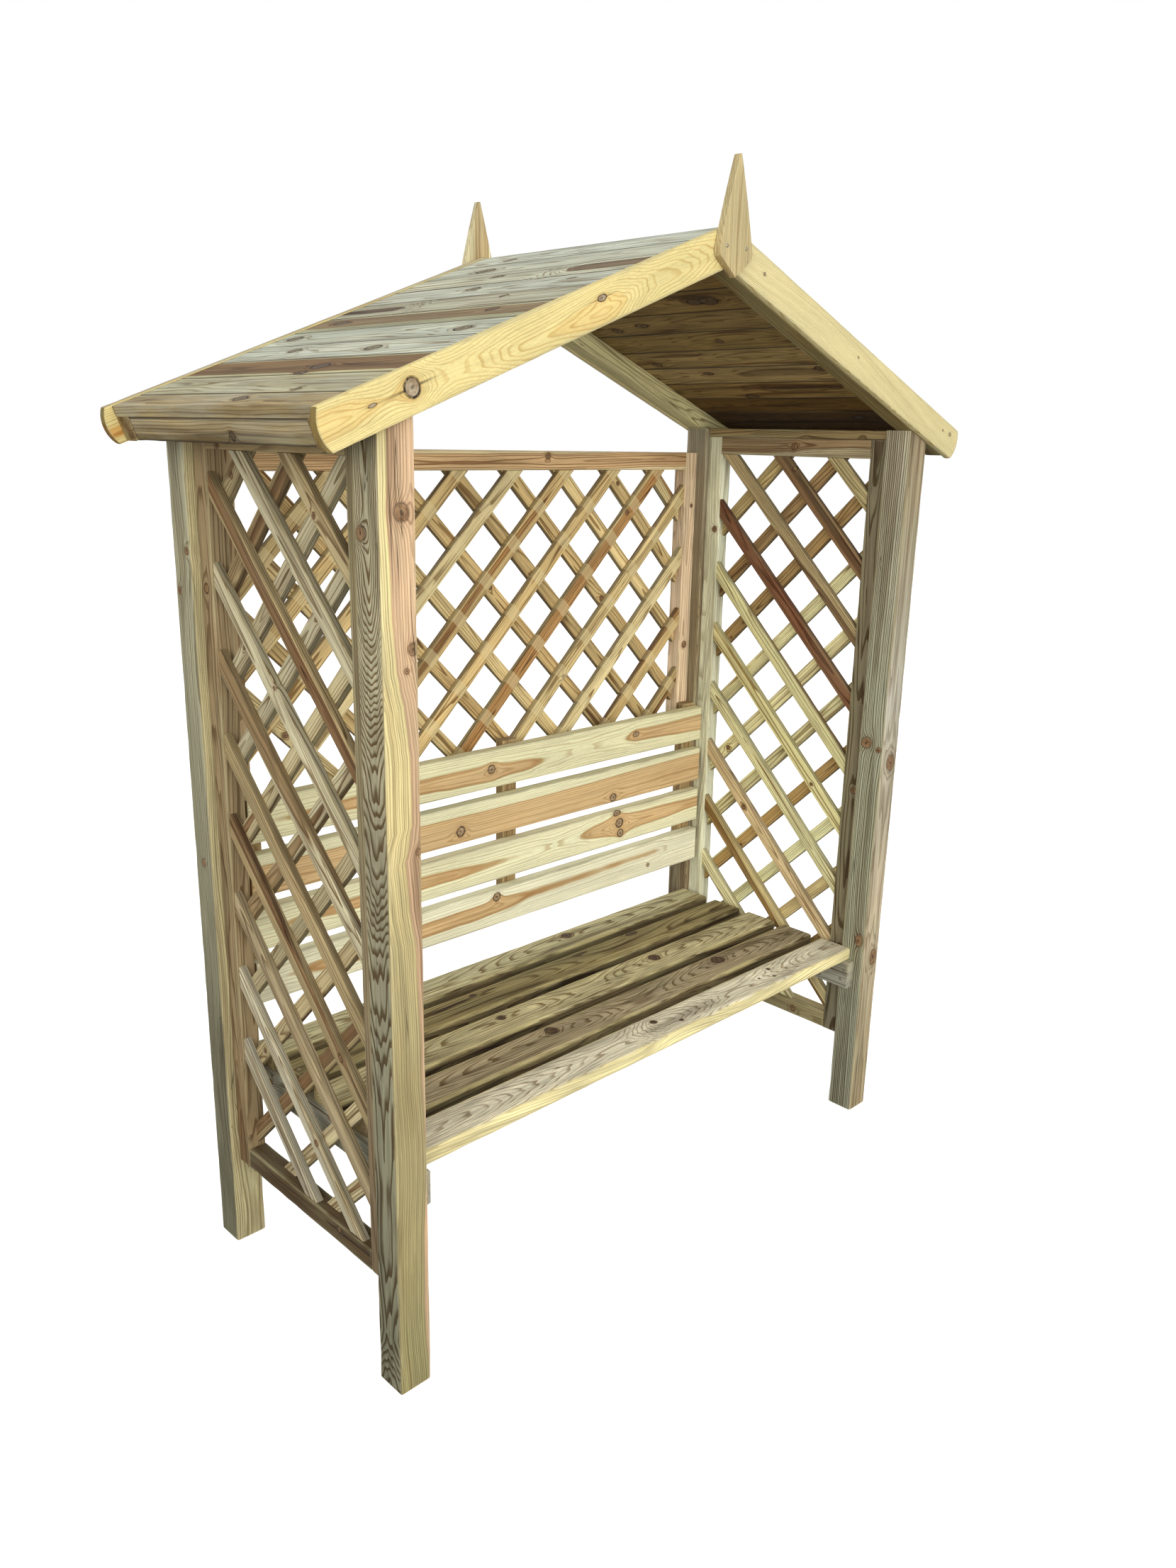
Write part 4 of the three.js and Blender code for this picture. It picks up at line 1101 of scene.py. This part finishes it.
print("screws")
screws = {
    "radius": 0.004, "proud": 0.0002, "reach": 0.0021, "slit": 0.0006, "recess": 0.0012, "sides": 28,
    "let": 0.0016, "taper": 0.7, "chamfer": 0.0003, "recessTaper": 0.75,
    "bright": "#b9b49e", "dull": "#85806c",
    "seat": {"across": 0.703, "over": 0.47},
    "finial": {"across": 0.0275, "height": 2.1095, "out": 0.3804},
    # places as (back, up) on the inner faces of the front posts and of the bearers
    "post": [(-0.302, 1.419)], "bearer": [(-0.308, 0.416), (-0.3, 0.388), (0.305, 0.402)],
    "batten": (0.008, 0.024),  # a pair in each slat, this far out and up from the middle
}
steel = openTree(bpy.data.materials.new("screw_steel"))
plating = grainNoise(newNode("TexCoord").outputs["Object"], 420, 420, 3)
plated = setSockets(newNode("BsdfPrincipled"), {
    "Metallic": 1.0, "Base Color": blend(ramp(plating, 0.35, 0.65), screws["dull"], screws["bright"]),
    "Roughness": ramp(plating, 0.3, 0.7, 0.28, 0.48)})
finishShader(plated, plating, 1.0, 0.0001)


def screwHeads(name, out, places):
    # countersunk heads with a cross recess, let in level with the face that they hold
    body = bmesh.new()
    radius, reach, slit, proud = screws["radius"], screws["reach"], screws["slit"], screws["proud"]
    cross = [(slit, reach), (slit, slit), (reach, slit), (reach, -slit), (slit, -slit), (slit, -reach)]
    cross += [(-x, -y) for x, y in cross]
    for number, place in enumerate(places):
        turn = random.Random(f"{name} {number}").uniform(0, math.pi / 2)
        first = Matrix.Rotation(turn, 3, out) @ out.orthogonal().normalized()
        second = out.cross(first)

        def ringOf(points, height):
            return [body.verts.new(Vector(place) + first * x + second * y + out * height) for x, y in points]

        def disc(size):
            steps = [2 * math.pi * step / screws["sides"] for step in range(screws["sides"])]
            return [(size * math.cos(step), size * math.sin(step)) for step in steps]

        foot, rim = ringOf(disc(radius * screws["taper"]), -screws["let"]), ringOf(disc(radius), 0.0)
        top, mouth = ringOf(disc(radius - screws["chamfer"]), proud), ringOf(cross, proud)
        narrow = screws["recessTaper"]
        bottom = ringOf([(x * narrow, y * narrow) for x, y in cross], proud - screws["recess"])
        for near, far in ((foot, rim), (rim, top), (bottom, mouth)):
            bridge(body, near, far)
        body.faces.new(foot)
        body.faces.new(bottom)
        edges = [body.edges.get((ring[index - 1], ring[index]))
                 for ring in (top, mouth) for index in range(len(ring))]
        bmesh.ops.triangle_fill(body, use_beauty=True, edges=edges, normal=out)
    mesh = newMesh(name, body)
    mesh.materials.append(steel)
    finishPiece(name, mesh)


spots = []
for side in (-1, 1):
    for index in range(1, 6):
        low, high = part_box(f"seat_board_{index}")
        spots.append((side * screws["seat"]["across"], (low.y + high.y) / 2, screws["seat"]["over"]))
screwHeads("seat_screws", zAxis, spots)
for endName, end in (("front", -1), ("rear", 1)):
    held = screws["finial"]
    spots = [(side * held["across"], end * held["out"], held["height"]) for side in (-1, 1)]
    screwHeads(f"finial_{endName}_screws", yAxis * end, spots)
for sideName, side in bothSides:
    for holder, node in (("post", f"post_front_{sideName}"), ("bearer", f"seat_bearer_{sideName}")):
        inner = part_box(node)[1 if side < 0 else 0].x
        screwHeads(f"{holder}_{sideName}_screws", xAxis * -side, [(inner, *spot) for spot in screws[holder]])
for place in ("left", "middle", "right"):
    low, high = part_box(f"backrest_batten_{place}")
    spots = []
    for index in range(1, 5):
        foot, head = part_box(f"backrest_slat_{index}")
        for side in (-1, 1):
            aside, above = (side * part for part in screws["batten"])
            spots.append(((low.x + high.x) / 2 + aside, high.y, (foot.z + head.z) / 2 + above))
    screwHeads(f"batten_{place}_screws", yAxis, spots)

print("stage, light and camera")
bpy.ops.mesh.primitive_plane_add(size=40)
floor = bpy.context.object
floor.name = "floor"
floor.data.materials.append(openTree(bpy.data.materials.new("paper")))
backdrop = {"grey": 0.3, "paler": 0.5, "glow": 0.62}  # paler to the camera than to the timbers
seen = newNode("LightPath").outputs["Is Camera Ray"]
grey = newGrey(sums("MULTIPLY_ADD", seen, backdrop["paler"], backdrop["grey"]))
matt = setSockets(newNode("BsdfDiffuse"), {"Color": grey})
glow = setSockets(newNode("Emission"), {"Strength": times(seen, backdrop["glow"])})
paper = wire(newNode("AddShader"), matt.outputs[0], glow.outputs[0])
wire(newNode("OutputMaterial"), paper.outputs[0])

scene = bpy.context.scene
daylight = {"horizon": 0.5, "overhead": 0.9, "full": 0.9}  # full from this height of the dome upwards
scene.world = openTree(bpy.data.worlds.new("daylight"))
path = newNode("LightPath").outputs
shown = sums("MAXIMUM", path["Is Camera Ray"], path["Is Glossy Ray"])
shown = sums("MAXIMUM", shown, path["Is Transmission Ray"])
upward = parted(newNode("TexCoord").outputs["Generated"])[2]
dome = ramp(upward, 0.0, daylight["full"], daylight["horizon"], daylight["overhead"])
lit = newNode("Mix", data_type="FLOAT")
for place, value in ((0, shown), (2, dome), (3, 1.0)):
    feed(lit.inputs[place], value)
sky = setSockets(newNode("Background"), {"Color": "#ffffff", "Strength": lit.outputs[0]})
wire(newNode("OutputWorld"), sky.outputs[0])

lamps = {
    "key": {"place": (-1.2, -6.2, 2.3), "aim": (0, 0, 1.1), "size": 4.5, "power": 225},
    "side": {"place": (-4.6, -2.6, 2.2), "aim": (0.2, 0, 1.0), "size": 3.0, "power": 95},
}
for name, lamp in lamps.items():
    data = bpy.data.lights.new(name, "AREA")
    data.size = lamp["size"]
    data.energy = lamp["power"]
    light = bpy.data.objects.new(name, data)
    scene.collection.objects.link(light)
    light.location = lamp["place"]
    light.rotation_euler = (Vector(lamp["aim"]) - light.location).to_track_quat("-Z", "Y").to_euler()

view = {"place": (-1.8728, -1.9141, 1.7663), "aim": (-0.116, -0.138, 1.045), "roll": 1.279, "lens": 27.571}
lens = bpy.data.cameras.new("camera")
lens.sensor_fit = "VERTICAL"
lens.sensor_height = 36
lens.lens = view["lens"]
camera = bpy.data.objects.new("camera", lens)
scene.collection.objects.link(camera)
camera.location = view["place"]
turn = (Vector(view["aim"]) - camera.location).to_track_quat("-Z", "Y").to_matrix()
turn = turn @ Matrix.Rotation(math.radians(view["roll"]), 3, "Z")
camera.rotation_euler = turn.to_euler()
scene.camera = camera
scene.view_settings.view_transform = "Standard"
